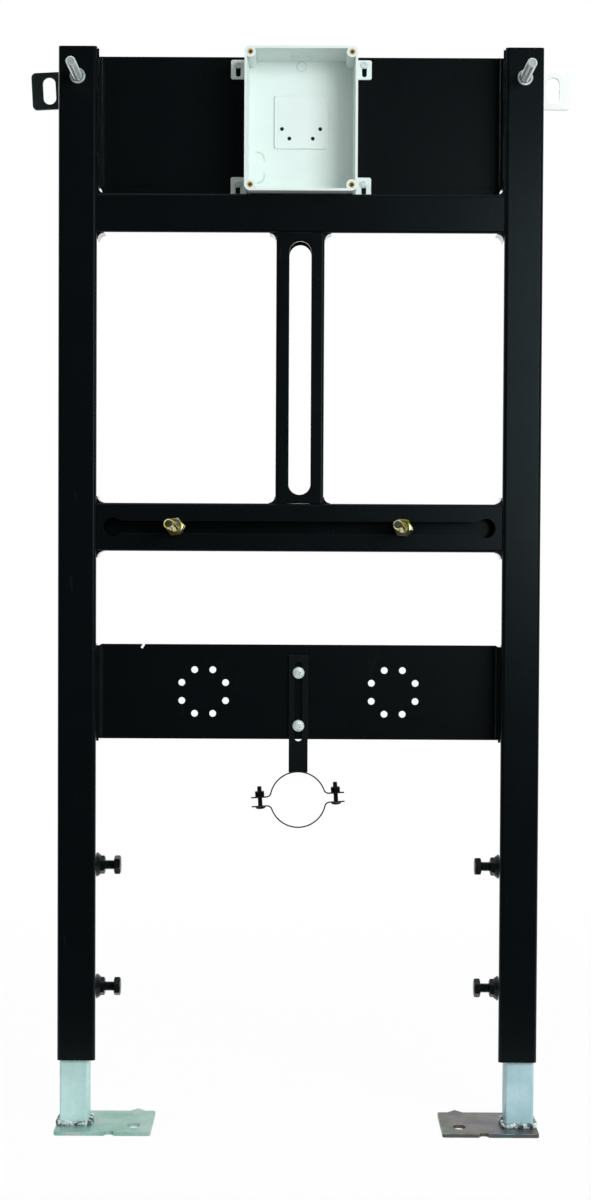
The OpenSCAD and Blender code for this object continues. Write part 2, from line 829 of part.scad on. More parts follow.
// Hanger and clamp for the drain pipe

module hanger_bolts() {
    shank = strap_t + 2 * slide_gap + sheet_t + nut_t(hanger_bolt_d) + thread_end;
    color("#b9bfbe") for (z = [hanger_bolt_low, hanger_bolt_high])
        translate([0, strap_front - slide_gap, z]) {
            facing_front() hex_chamfered(hanger_bolt_d, head_t(hanger_bolt_d));
            rotate([-90, 0, 0]) cylinder(h = shank, r = hanger_bolt_d / 2);
        }
}

module hanger_nuts() {
    color("#b9bfbe") for (z = [hanger_bolt_low, hanger_bolt_high])
        translate([0, post_back, z]) rotate([-90, 0, 0]) difference() {
            hex_chamfered(hanger_bolt_d, nut_t(hanger_bolt_d));
            translate([0, 0, -cut])
                cylinder(h = nut_t(hanger_bolt_d) + 2 * cut, r = hanger_bolt_d / 2 + hole_gap);
        }
}

// Strap whose lower end is cut round to sit on the upper band
module hanger_strap() {
    top = drain_panel_top - strap_top;
    color("#1b1e20") difference() {
        translate([-strap_w / 2, strap_front, clamp_z]) cube([strap_w, strap_t, top - clamp_z]);
        translate([0, strap_back + cut, clamp_z])
            facing_front() cylinder(h = strap_t + 2 * cut, r = clamp_r + clamp_t, $fn = 96);
        translate([0, strap_back + cut, (strap_slot_top + strap_slot_low) / 2])
            upright(strap_t + 2 * cut)
                slot_shape(2 * strap_slot_r, strap_slot_top - strap_slot_low + 2 * strap_slot_r);
    }
}

// Half band that bends out on both sides into flat ears
module half_band() {
    ring_sector(clamp_r, clamp_r + clamp_t, bend_angle, 180 - bend_angle, $fn = 96);
    for (side = [-1, 1]) scale([side, 1]) {
        translate([bend_x, ear_mid + ear_bend_r])
            ring_sector(ear_bend_r - clamp_t / 2, ear_bend_r + clamp_t / 2, 180 + bend_angle, 270);
        translate([bend_x, ear_mid - clamp_t / 2]) square([ear_reach - bend_x, clamp_t]);
    }
}

module clamp_half(side) {
    translate([0, clamp_y, clamp_z]) rotate([0, -clamp_turn, 0]) scale([1, 1, side]) difference() {
        translate([0, clamp_w / 2, 0]) upright(clamp_w) half_band();
        for (x = [-1, 1]) translate([x * clamp_screw_x, 0, 0])
            cylinder(h = ear_gap + clamp_t, r = clamp_screw_d / 2 + hole_gap);
    }
}

module clamp_upper() {
    color("#1b1e20") clamp_half(1);
}

module clamp_lower() {
    color("#1b1e20") clamp_half(-1);
}

module at_clamp_screws() {
    translate([0, clamp_y, clamp_z]) rotate([0, -clamp_turn, 0])
        for (x = [-1, 1]) translate([x * clamp_screw_x, 0, 0]) children();
}

module clamp_screws() {
    grip = ear_gap / 2 + clamp_t;
    color("#a8adac") at_clamp_screws() {
        translate([0, 0, -grip - head_t(clamp_screw_d)])
            hex_prism(clamp_screw_d, head_t(clamp_screw_d));
        translate([0, 0, -grip])
            tipped_rod(clamp_screw_d / 2, 2 * grip + nut_t(clamp_screw_d) + thread_end,
                       tip_chamfer(clamp_screw_d));
    }
}

module clamp_nuts() {
    color("#a8adac") at_clamp_screws() translate([0, 0, ear_gap / 2 + clamp_t]) difference() {
        hex_chamfered(clamp_screw_d, nut_t(clamp_screw_d));
        translate([0, 0, -cut])
            cylinder(h = nut_t(clamp_screw_d) + 2 * cut, r = clamp_screw_d / 2 + hole_gap);
    }
}

// Legs

module leg_tube(side) {
    color("#b7cfca") translate([side * leg_x, post_y, foot_t])
        square_tube(leg_side, leg_wall, leg_corner_r, leg_top_z - foot_t);
}

module leg_tube_left() {
    leg_tube(-1);
}

module leg_tube_right() {
    leg_tube(1);
}

// Foot plate from above, its inner end to the left: slot, notch in front and pointer behind
module foot_shape() {
    difference() {
        union() {
            translate([foot_w / 2, 0]) rounded_rect(foot_w, foot_d, foot_corner_r);
            translate([foot_slot_inset, foot_d / 2 - cut])
                polygon([[-foot_pointer_half, 0], [foot_pointer_half, 0],
                         [0, foot_pointer_l + cut]]);
        }
        translate([foot_slot_inset, -foot_slot_fore]) slot_shape(foot_slot_w, foot_slot_l);
        translate([foot_notch_inset, -foot_d / 2]) circle(foot_notch_r);
    }
}

module foot_plate(side) {
    translate([side * foot_inner_x, post_y, 0]) scale([side, 1, 1])
        linear_extrude(foot_t) foot_shape();
}

module foot_plate_left() {
    color("#a9c4b8") foot_plate(-1);
}

module foot_plate_right() {
    color("#b5a8b0") foot_plate(1);
}

// Weld bead of triangular section around the base of a leg
module foot_weld(side) {
    flat = leg_side / 2 - leg_corner_r;
    color("#8d9a97") translate([side * leg_x, post_y, foot_t]) difference() {
        union() {
            for (x = [-1, 1], y = [-1, 1])
                translate([x * flat, y * flat, 0])
                    cylinder(h = foot_bead, r1 = leg_corner_r + foot_bead, r2 = leg_corner_r);
            for (a = [0, 90]) rotate([90, 0, a]) linear_extrude(2 * flat, center = true)
                polygon([[-leg_side / 2 - foot_bead, 0], [leg_side / 2 + foot_bead, 0],
                         [leg_side / 2, foot_bead], [-leg_side / 2, foot_bead]]);
        }
        translate([0, 0, -cut])
            linear_extrude(foot_bead + 2 * cut) rounded_rect(leg_side, leg_side, leg_corner_r);
    }
}

module foot_weld_left() {
    foot_weld(-1);
}

module foot_weld_right() {
    foot_weld(1);
}

post_left();
post_right();
upper_rail();
mounting_rail();
slotted_bar();
weld_fillets();
top_panel();
drain_panel();
rod_bushes();
rod_nuts();
wall_rod_left();
wall_rod_right();
wall_bracket_left();
wall_bracket_right();
bracket_nut_left();
bracket_nut_right();
valve_box();
box_inserts();
box_screws();
urinal_bolt_left();
urinal_bolt_right();
urinal_nut_left();
urinal_nut_right();
lock_bolts();
lock_nuts();
hanger_bolts();
hanger_nuts();
hanger_strap();
clamp_upper();
clamp_lower();
clamp_screws();
clamp_nuts();
leg_tube_left();
leg_tube_right();
foot_plate_left();
foot_plate_right();
foot_weld_left();
foot_weld_right();
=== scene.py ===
"""Looks of a free-standing urinal installation frame.

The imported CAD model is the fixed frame. This script dresses its nodes, puts threaded, chamfered
and welded pieces in place of the plain ones, and sets a plain studio around them.
"""
import logging
import math
from dataclasses import dataclass
from enum import Enum
from typing import Callable, Iterable, Optional, Sequence

import bpy
from mathutils import Matrix, Vector, noise


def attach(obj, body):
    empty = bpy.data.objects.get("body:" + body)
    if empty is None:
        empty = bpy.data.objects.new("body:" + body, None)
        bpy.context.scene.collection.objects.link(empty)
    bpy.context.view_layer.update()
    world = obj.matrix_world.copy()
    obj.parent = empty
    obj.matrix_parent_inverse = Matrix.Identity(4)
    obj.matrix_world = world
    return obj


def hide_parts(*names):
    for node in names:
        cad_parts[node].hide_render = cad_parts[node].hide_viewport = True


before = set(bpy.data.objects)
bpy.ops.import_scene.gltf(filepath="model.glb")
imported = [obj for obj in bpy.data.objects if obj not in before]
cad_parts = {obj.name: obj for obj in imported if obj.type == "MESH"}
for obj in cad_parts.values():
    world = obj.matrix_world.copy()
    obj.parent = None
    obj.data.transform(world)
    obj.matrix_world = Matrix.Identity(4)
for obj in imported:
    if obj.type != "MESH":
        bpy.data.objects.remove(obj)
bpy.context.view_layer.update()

LOG = logging.getLogger("installation_frame")
MM = 0.001
Colour = tuple[float, float, float]
Point = tuple[float, float, float]
Mark = tuple[float, float, float, float, float, float]


class Body(Enum):
    """The moving groups of the frame."""

    FRAME = "frame"
    WALL_LEFT = "wall_fixing_left"
    WALL_RIGHT = "wall_fixing_right"
    BOLT_LEFT = "bolt_left"
    BOLT_RIGHT = "bolt_right"
    CLAMP = "drain_clamp"
    LEG_LEFT = "leg_left"
    LEG_RIGHT = "leg_right"


class Slot(Enum):
    """Names of the record's material slots."""

    COAT = "black_coat"
    SMALL = "black_small"
    BRIGHT = "bright_zinc"
    YELLOW = "yellow_zinc"
    WELD = "weld_metal"
    PLASTIC = "white_plastic"


# Building node trees


class Graph:
    """Short hand for adding and wiring nodes in one tree."""

    def __init__(self, tree: bpy.types.NodeTree) -> None:
        """Keeps the tree. Args: tree: the tree that gets the nodes."""
        self.tree = tree

    def add(self, kind: str, inputs: Optional[dict] = None, **settings: object) -> bpy.types.Node:
        """Adds a node.

        Args:
            kind: node type without its ShaderNode prefix.
            inputs: value or source socket for each input, by name or index.
            settings: attributes of the node.

        Returns:
            The new node.
        """
        made = self.tree.nodes.new("ShaderNode" + kind)
        for key, value in settings.items():
            setattr(made, key, value)
        for key, value in (inputs or {}).items():
            if isinstance(value, bpy.types.NodeSocket):
                self.tree.links.new(value, made.inputs[key])
            else:
                made.inputs[key].default_value = value
        return made

    def maths(self, operation: str, a: object, b: object = 0.0,
              clamp: bool = False) -> bpy.types.NodeSocket:
        """Adds a Math node.

        Args:
            operation: name of the operation.
            a: first value or socket.
            b: second value or socket.
            clamp: whether the result is kept from 0 to 1.

        Returns:
            The result's socket.
        """
        return self.add("Math", {0: a, 1: b}, operation=operation, use_clamp=clamp).outputs[0]

    def blend(self, share: object, a: object, b: object) -> bpy.types.NodeSocket:
        """Mixes two colours.

        Args:
            share: share of the second colour, a value or socket.
            a: first colour.
            b: second colour.

        Returns:
            The mixed colour's socket.
        """
        made = self.add("Mix", data_type="RGBA")
        for index, value in ((0, share), (6, a), (7, b)):
            if isinstance(value, bpy.types.NodeSocket):
                self.tree.links.new(value, made.inputs[index])
            elif index:
                made.inputs[index].default_value = (*value, 1.0)
            else:
                made.inputs[index].default_value = value
        return made.outputs[2]

    def steps(self, source: bpy.types.NodeSocket, low: float, high: float,
              out_low: float = 0.0, out_high: float = 1.0) -> bpy.types.NodeSocket:
        """Maps a range smoothly on another.

        Args:
            source: value to map.
            low: start of its range.
            high: end of its range.
            out_low: result at the start.
            out_high: result at the end.

        Returns:
            The result's socket.
        """
        return self.add("MapRange", {0: source, 1: low, 2: high, 3: out_low, 4: out_high},
                        interpolation_type="SMOOTHSTEP").outputs[0]

    def ramp(self, source: bpy.types.NodeSocket,
             stops: Sequence[tuple[float, Colour]]) -> bpy.types.NodeSocket:
        """Adds a colour ramp.

        Args:
            source: value that picks the colour.
            stops: places and colours along the ramp.

        Returns:
            The colour's socket.
        """
        made = self.add("ValToRGB", {0: source})
        elements = made.color_ramp.elements
        while len(elements) < len(stops):
            elements.new(0.5)
        for element, (place, colour) in zip(elements, stops):
            element.position = place
            element.color = (*colour, 1.0)
        return made.outputs[0]

    def place(self, stretch: Point = (1.0, 1.0, 1.0)) -> bpy.types.NodeSocket:
        """Coordinates on the piece at rest, stretched along each axis."""
        where = self.add("TexCoord").outputs["Object"]
        return self.add("Mapping", {"Vector": where, "Scale": stretch}).outputs[0]

    def noise(self, scale: object, detail: float = 3.0, stretch: Point = (1.0, 1.0, 1.0),
              output: int = 0) -> bpy.types.NodeSocket:
        """Adds noise on the piece's own coordinates.

        Args:
            scale: waves per metre, a value or socket.
            detail: number of finer octaves.
            stretch: scale along each axis.
            output: 0 for the value, 1 for the colour.

        Returns:
            The noise's socket.
        """
        return self.add("TexNoise", {"Vector": self.place(stretch), "Scale": scale,
                                     "Detail": detail}).outputs[output]


class Effects:
    """Shader node groups that several finishes share, each built once."""

    made: dict[str, bpy.types.NodeTree] = {}

    @classmethod
    def group(cls, name: str, inputs: Sequence[tuple[str, float]], outputs: Sequence[str],
              fill: Callable[[Graph, dict, dict], None]) -> bpy.types.NodeTree:
        """Builds a node group the first time that it is asked for.

        Args:
            name: the group's name.
            inputs: names and usual values of its inputs.
            outputs: names of its outputs.
            fill: adds the nodes, given the graph, the input sockets and a place for the results.

        Returns:
            The group's tree.
        """
        if name in cls.made:
            return cls.made[name]
        tree = bpy.data.node_groups.new(name, "ShaderNodeTree")
        for label, value in inputs:
            socket = tree.interface.new_socket(label, in_out="INPUT", socket_type="NodeSocketFloat")
            socket.default_value = value
        for label in outputs:
            tree.interface.new_socket(label, in_out="OUTPUT", socket_type="NodeSocketFloat")
        source = tree.nodes.new("NodeGroupInput")
        sink = tree.nodes.new("NodeGroupOutput")
        results: dict[str, bpy.types.NodeSocket] = {}
        fill(Graph(tree), {label: source.outputs[label] for label, _ in inputs}, results)
        for label in outputs:
            tree.links.new(results[label], sink.inputs[label])
        cls.made[name] = tree
        return tree

    @classmethod
    def edge_wear_and_highlight(cls) -> bpy.types.NodeTree:
        """Mask that is high on outer edges in broken patches, used for rubbing and for painted edge
        highlights.
        """

        def fill(g: Graph, given: dict, out: dict) -> None:
            """Compares the rounded normal with the true one."""
            rounded = g.add("Bevel", {"Radius": given["Width"]}, samples=4).outputs[0]
            true = g.add("NewGeometry").outputs["Normal"]
            same = g.add("VectorMath", {0: rounded, 1: true}, operation="DOT_PRODUCT").outputs["Value"]
            edge = g.steps(g.maths("SUBTRACT", 1.0, same), 0.01, 0.14)
            broken = g.steps(g.noise(given["Patch scale"], 4.0), 0.35, 0.6)
            out["Mask"] = g.maths("MULTIPLY", g.maths("MULTIPLY", edge, broken), given["Amount"], True)

        return cls.group("edge_wear_and_highlight", [("Width", 0.0012), ("Patch scale", 90.0), ("Amount", 1.0)],
                         ["Mask"], fill)

    @classmethod
    def dust(cls) -> bpy.types.NodeTree:
        """Mask of dust, thicker on faces that look up."""

        def fill(g: Graph, given: dict, out: dict) -> None:
            """Mixes cloudy and grainy noise."""
            up = g.add("SeparateXYZ", {0: g.add("NewGeometry").outputs["Normal"]}).outputs[2]
            lying = g.steps(up, 0.2, 0.95, 0.25, 1.0)
            cloud = g.steps(g.noise(14.0, 3.0), 0.38, 0.72)
            grain = g.steps(g.noise(2600.0, 2.0), 0.5, 0.72)
            amount = g.maths("MULTIPLY", g.maths("MULTIPLY", cloud, grain), lying)
            out["Mask"] = g.maths("MULTIPLY", amount, given["Amount"], True)

        return cls.group("dust", [("Amount", 0.5)], ["Mask"], fill)

    @classmethod
    def scratches(cls) -> bpy.types.NodeTree:
        """Mask of short fine scratches."""

        def fill(g: Graph, given: dict, out: dict) -> None:
            """Takes thin lines of stretched cells, broken up by noise."""
            lines = g.add("TexVoronoi", {"Vector": g.place((1.0, 1.0, 0.06)), "Scale": given["Scale"]},
                          feature="DISTANCE_TO_EDGE").outputs[0]
            thin = g.steps(lines, 0.004, 0.012, 1.0, 0.0)
            rare = g.steps(g.noise(31.0, 2.0), 0.6, 0.68)
            out["Mask"] = g.maths("MULTIPLY", g.maths("MULTIPLY", thin, rare), given["Amount"], True)

        return cls.group("scratches", [("Scale", 55.0), ("Amount", 0.5)], ["Mask"], fill)

    @classmethod
    def peel(cls) -> bpy.types.NodeTree:
        """Height of a sprayed or moulded skin: soft waves with a fine grain."""

        def fill(g: Graph, given: dict, out: dict) -> None:
            """Adds waves and grain."""
            waves = g.maths("MULTIPLY", g.noise(given["Wave scale"], 2.0), given["Waves"])
            grain = g.maths("MULTIPLY", g.noise(given["Grain scale"], 3.0), given["Grain"])
            out["Height"] = g.maths("ADD", waves, grain)
            out["Smudge"] = g.steps(g.noise(22.0, 4.0), 0.3, 0.7)

        return cls.group("peel", [("Wave scale", 420.0), ("Waves", 0.7), ("Grain scale", 2400.0),
                                  ("Grain", 0.3)], ["Height", "Smudge"], fill)

    @classmethod
    def rings(cls, name: str, plane: tuple[int, int],
              places: Sequence["Mark"]) -> bpy.types.NodeTree:
        """Mask of thin rings, arcs or discs at given places.

        Args:
            name: the group's name.
            plane: the two axes in which the rings lie.
            places: centre, radius and half width of each in millimetres, then the direction
                from the centre to the middle of its arc, or two noughts for the whole ring.

        Returns:
            The group's tree.
        """

        def fill(g: Graph, given: dict, out: dict) -> None:
            """Takes the highest of all rings."""
            axes = g.add("SeparateXYZ", {0: g.place()}).outputs
            total: object = 0.0
            for u, v, radius, half, right, up in places:
                du = g.maths("SUBTRACT", axes[plane[0]], u * MM)
                dv = g.maths("SUBTRACT", axes[plane[1]], v * MM)
                away = g.maths("SQRT", g.maths("ADD", g.maths("MULTIPLY", du, du),
                                               g.maths("MULTIPLY", dv, dv)))
                line = g.maths("ABSOLUTE", g.maths("SUBTRACT", away, radius * MM))
                shown = g.steps(line, half * MM, 1.6 * half * MM, 1.0, 0.0)
                if right or up:
                    over = g.maths("ADD", g.maths("MULTIPLY", du, right), g.maths("MULTIPLY", dv, up))
                    shown = g.maths("MULTIPLY", shown, g.steps(over, 0.25 * radius * MM, 0.85 * radius * MM))
                total = g.maths("MAXIMUM", total, shown)
            out["Mask"] = g.maths("MULTIPLY", total, given["Amount"], True)

        return cls.group(name, [("Amount", 1.0)], ["Mask"], fill)

    @classmethod
    def spangle(cls) -> bpy.types.NodeTree:
        """Crystal pattern of a zinc coat, with drawing lines along the piece."""

        def fill(g: Graph, given: dict, out: dict) -> None:
            """Mixes cells, clouds and fine lines."""
            warp = g.add("VectorMath", {0: g.place(), 1: g.add(
                "VectorMath", {0: g.noise(60.0, 2.0, output=1), "Scale": 0.006},
                operation="SCALE").outputs[0]}, operation="ADD").outputs[0]
            cells = g.add("TexVoronoi", {"Vector": warp, "Scale": given["Scale"]}).outputs["Color"]
            facet = g.add("SeparateColor", {0: cells}).outputs[0]
            cloud = g.noise(35.0, 4.0)
            lines = g.noise(900.0, 2.0, (1.0, 1.0, 0.012))
            out["Facet"] = facet
            out["Cloud"] = g.steps(cloud, 0.3, 0.7)
            out["Lines"] = g.steps(lines, 0.3, 0.7)
            out["Height"] = g.maths("ADD", g.maths("MULTIPLY", lines, 0.6),
                                    g.maths("MULTIPLY", g.noise(1500.0, 3.0), 0.4))

        return cls.group("spangle", [("Scale", 260.0)], ["Facet", "Cloud", "Lines", "Height"], fill)


class Finish:
    """A material made once, with its effects wired to the shader's sockets."""

    made: dict[str, bpy.types.Material] = {}

    def start(self, name: str) -> tuple[bpy.types.Material, Graph, bpy.types.Node]:
        """Makes an empty material with a Principled shader.

        Args:
            name: the material's name.

        Returns:
            The material, its graph and the shader node.
        """
        material = bpy.data.materials.new(name)
        material.use_nodes = True
        tree = material.node_tree
        tree.nodes.clear()
        graph = Graph(tree)
        shader = graph.add("BsdfPrincipled")
        graph.add("OutputMaterial", {"Surface": shader.outputs[0]})
        return material, graph, shader

    @staticmethod
    def effect(graph: Graph, tree: bpy.types.NodeTree, **values: float) -> bpy.types.Node:
        """Places a shared effect in a material.

        Args:
            graph: the material's graph.
            tree: the effect's group.
            values: its inputs, with underscores for blanks.

        Returns:
            The group node.
        """
        placed = graph.add("Group", node_tree=tree)
        for label, value in values.items():
            placed.inputs[label.replace("_", " ").capitalize()].default_value = value
        return placed

    @staticmethod
    def bump(graph: Graph, shader: bpy.types.Node, height: bpy.types.NodeSocket, depth: float,
             strength: float) -> None:
        """Wires a height to the shader's normal.

        Args:
            graph: the material's graph.
            shader: the shader node.
            height: the height's socket.
            depth: metres from its lowest to its highest point.
            strength: share of the bump that shows.
        """
        made = graph.add("Bump", {"Height": height, "Distance": depth, "Strength": strength})
        graph.tree.links.new(made.outputs[0], shader.inputs["Normal"])

    def material(self) -> bpy.types.Material:
        """The finish's material, made the first time."""
        key = repr(self)
        if key not in Finish.made:
            Finish.made[key] = self.build()
        return Finish.made[key]

    def build(self) -> bpy.types.Material:
        """Builds the material; each finish does this in its own way."""
        raise NotImplementedError


@dataclass(frozen=True)
class BlackEnamel(Finish):
    """Satin black stove enamel with faint dust, scratches, and lighter edges that are partly rubbed through
    and partly painted highlight.
    """

    name: str = "black_enamel"
    base: Colour = (0.0024, 0.0034, 0.0040)
    dusty: Colour = (0.014, 0.018, 0.020)
    worn_and_highlit: Colour = (0.030, 0.035, 0.037)
    roughness: float = 0.24
    ior: float = 1.2
    varnish_ior: float = 1.2
    dust: float = 0.3
    scratches: float = 0.12
    wear_and_highlight: float = 0.35
    grazing: float = 1.0
    wave_scale: float = 420.0
    bump_depth: float = 0.00006

    def build(self) -> bpy.types.Material:
        """Builds the enamel. Returns: the material."""
        material, g, shader = self.start(self.name)
        peel = self.effect(g, Effects.peel(), wave_scale=self.wave_scale)
        dust = self.effect(g, Effects.dust(), amount=self.dust).outputs[0]
        lines = self.effect(g, Effects.scratches(), amount=self.scratches).outputs[0]
        # Lighter edges: partly rubbed paint, partly a painted highlight along the corners; the scratches
        # take the same lighter colour.
        edges = self.effect(g, Effects.edge_wear_and_highlight(), width=0.0010, amount=self.wear_and_highlight).outputs[0]
        colour = g.blend(dust, self.base, self.dusty)
        colour = g.blend(g.maths("MAXIMUM", lines, edges), colour, self.worn_and_highlit)
        g.tree.links.new(colour, shader.inputs["Base Color"])
        rough = g.maths("ADD", g.maths("MULTIPLY", peel.outputs["Smudge"], 0.07),
                        g.maths("ADD", g.maths("MULTIPLY", dust, 0.3), self.roughness - 0.03))
        g.tree.links.new(rough, shader.inputs["Roughness"])
        shader.inputs["IOR"].default_value = self.ior
        shader.inputs["Specular Tint"].default_value = (0.5, 0.92, 1.0, 1.0)
        shader.inputs["Coat Weight"].default_value = 1.0
        shader.inputs["Coat IOR"].default_value = self.varnish_ior
        shader.inputs["Coat Roughness"].default_value = self.roughness
        self.bump(g, shader, peel.outputs["Height"], self.bump_depth, 0.5)
        facing = g.add("LayerWeight", {"Blend": 0.5}).outputs["Facing"]
        sheen = g.add("BsdfGlossy", {"Color": (1.0, 1.0, 1.0, 1.0), "Roughness": 0.06}).outputs[0]
        share = g.steps(facing, 0.62, 0.86, 0.0, self.grazing)
        mixed = g.add("MixShader", {0: share, 1: shader.outputs[0], 2: sheen}).outputs[0]
        g.tree.links.new(mixed, g.tree.nodes["Material Output"].inputs["Surface"])
        return material


@dataclass(frozen=True)
class Zinc(Finish):
    """Zinc coat with spangle, drawing lines and a film of colour."""

    name: str
    stops: tuple[tuple[float, Colour], ...]
    roughness: float = 0.42
    metallic: float = 0.75
    spangle_scale: float = 260.0
    facets: float = 0.12
    lines: float = 0.18
    film_scale: float = 30.0
    wear_and_highlight: float = 0.3
    bump_depth: float = 0.00005

    def build(self) -> bpy.types.Material:
        """Builds the zinc. Returns: the material."""
        material, g, shader = self.start(self.name)
        spangle = self.effect(g, Effects.spangle(), scale=self.spangle_scale)
        film = g.noise(self.film_scale, 3.0)
        colour = g.ramp(g.steps(film, 0.3, 0.7), self.stops)
        shade = g.maths("ADD", g.maths("MULTIPLY", spangle.outputs["Facet"], self.facets),
                        g.maths("MULTIPLY", spangle.outputs["Lines"], self.lines))
        bright = g.maths("ADD", shade, 1.0 - (self.facets + self.lines) / 2)
        value = g.add("VectorMath", {0: colour, "Scale": bright}, operation="SCALE").outputs[0]
        edges = self.effect(g, Effects.edge_wear_and_highlight(), width=0.0008, amount=self.wear_and_highlight).outputs[0]
        g.tree.links.new(g.blend(edges, value, (0.78, 0.82, 0.82)), shader.inputs["Base Color"])
        rough = g.maths("ADD", g.maths("MULTIPLY", spangle.outputs["Cloud"], 0.16), self.roughness - 0.08)
        g.tree.links.new(rough, shader.inputs["Roughness"])
        shader.inputs["Metallic"].default_value = self.metallic
        self.bump(g, shader, spangle.outputs["Height"], self.bump_depth, 0.6)
        return material


@dataclass(frozen=True)
class WhitePlastic(Finish):
    """Satin white moulded plastic with flow streaks, rings darkened as painted shade, the pad's openings
    painted near black as shade, and edges lightened as painted highlight.
    """

    name: str = "white_plastic"
    base: Colour = (0.79, 0.865, 0.83)
    tinted: Colour = (0.75, 0.84, 0.80)
    roughness: float = 0.36
    # Moulded rings: centre, radius, half width and arc direction; their darker colour is painted shade, the
    # one-sided arcs painting the shaded side of recessed discs.
    back_rings_and_shade: tuple[Mark, ...] = (
        (-46.0, 1014.0, 7.4, 0.7, 0.7, 0.7), (-46.0, 997.0, 7.4, 0.7, 0.8, -0.6),
        (0.0, 1110.7, 5.0, 0.3, 0.0, 0.0), (0.0, 1110.7, 4.7, 0.5, -1.0, 0.0))
    top_rings_and_shade: tuple[Mark, ...] = ((0.0, 22.0, 11.0, 0.4, 0.0, 0.0),)
    # Painted shade: discs over the pad's openings, painted near black.
    hole_painted_shade: tuple[Mark, ...] = (
        (-20.0, 1045.6, 0.0, 1.55, 0.0, 0.0), (20.0, 1045.6, 0.0, 1.55, 0.0, 0.0),
        (-12.25, 1035.7, 0.0, 1.55, 0.0, 0.0), (12.25, 1035.7, 0.0, 1.55, 0.0, 0.0))

    def build(self) -> bpy.types.Material:
        """Builds the plastic. Returns: the material."""
        material, g, shader = self.start(self.name)
        peel = self.effect(g, Effects.peel(), wave_scale=150.0, grain_scale=3200.0)
        edges = self.effect(g, Effects.edge_wear_and_highlight(), width=0.0008, amount=0.5).outputs[0]
        colour = g.blend(peel.outputs["Smudge"], self.base, self.tinted)
        # Painted highlight: the edges are lightened towards white.
        colour = g.blend(edges, colour, (0.9, 0.95, 0.94))
        back = self.effect(g, Effects.rings("back_rings_and_shade_mask", (0, 2), self.back_rings_and_shade)).outputs[0]
        top = self.effect(g, Effects.rings("top_rings_and_shade", (0, 1), self.top_rings_and_shade)).outputs[0]
        down = g.steps(g.add("SeparateXYZ", {0: g.add("NewGeometry").outputs["Normal"]}).outputs[2],
                       -0.8, -0.95)
        lines = g.maths("MAXIMUM", back, g.maths("MULTIPLY", top, down))
        hole_painted_shade = self.effect(g, Effects.rings("pad_hole_painted_shade_mask", (0, 2), self.hole_painted_shade)).outputs[0]
        # Painted shade: the rings are darkened green; their grooves come from the bump below.
        colour = g.blend(g.maths("MULTIPLY", lines, 0.55), colour, (0.38, 0.56, 0.50))
        # Painted shade: the pad's openings are painted near black.
        g.tree.links.new(g.blend(hole_painted_shade, colour, (0.004, 0.005, 0.005)), shader.inputs["Base Color"])
        rough = g.maths("ADD", g.maths("MULTIPLY", peel.outputs["Smudge"], 0.08), self.roughness)
        g.tree.links.new(rough, shader.inputs["Roughness"])
        shader.inputs["IOR"].default_value = 1.46
        height = g.maths("SUBTRACT", peel.outputs["Height"], g.maths("MULTIPLY", lines, 6.0))
        self.bump(g, shader, height, 0.00006, 0.5)
        return material


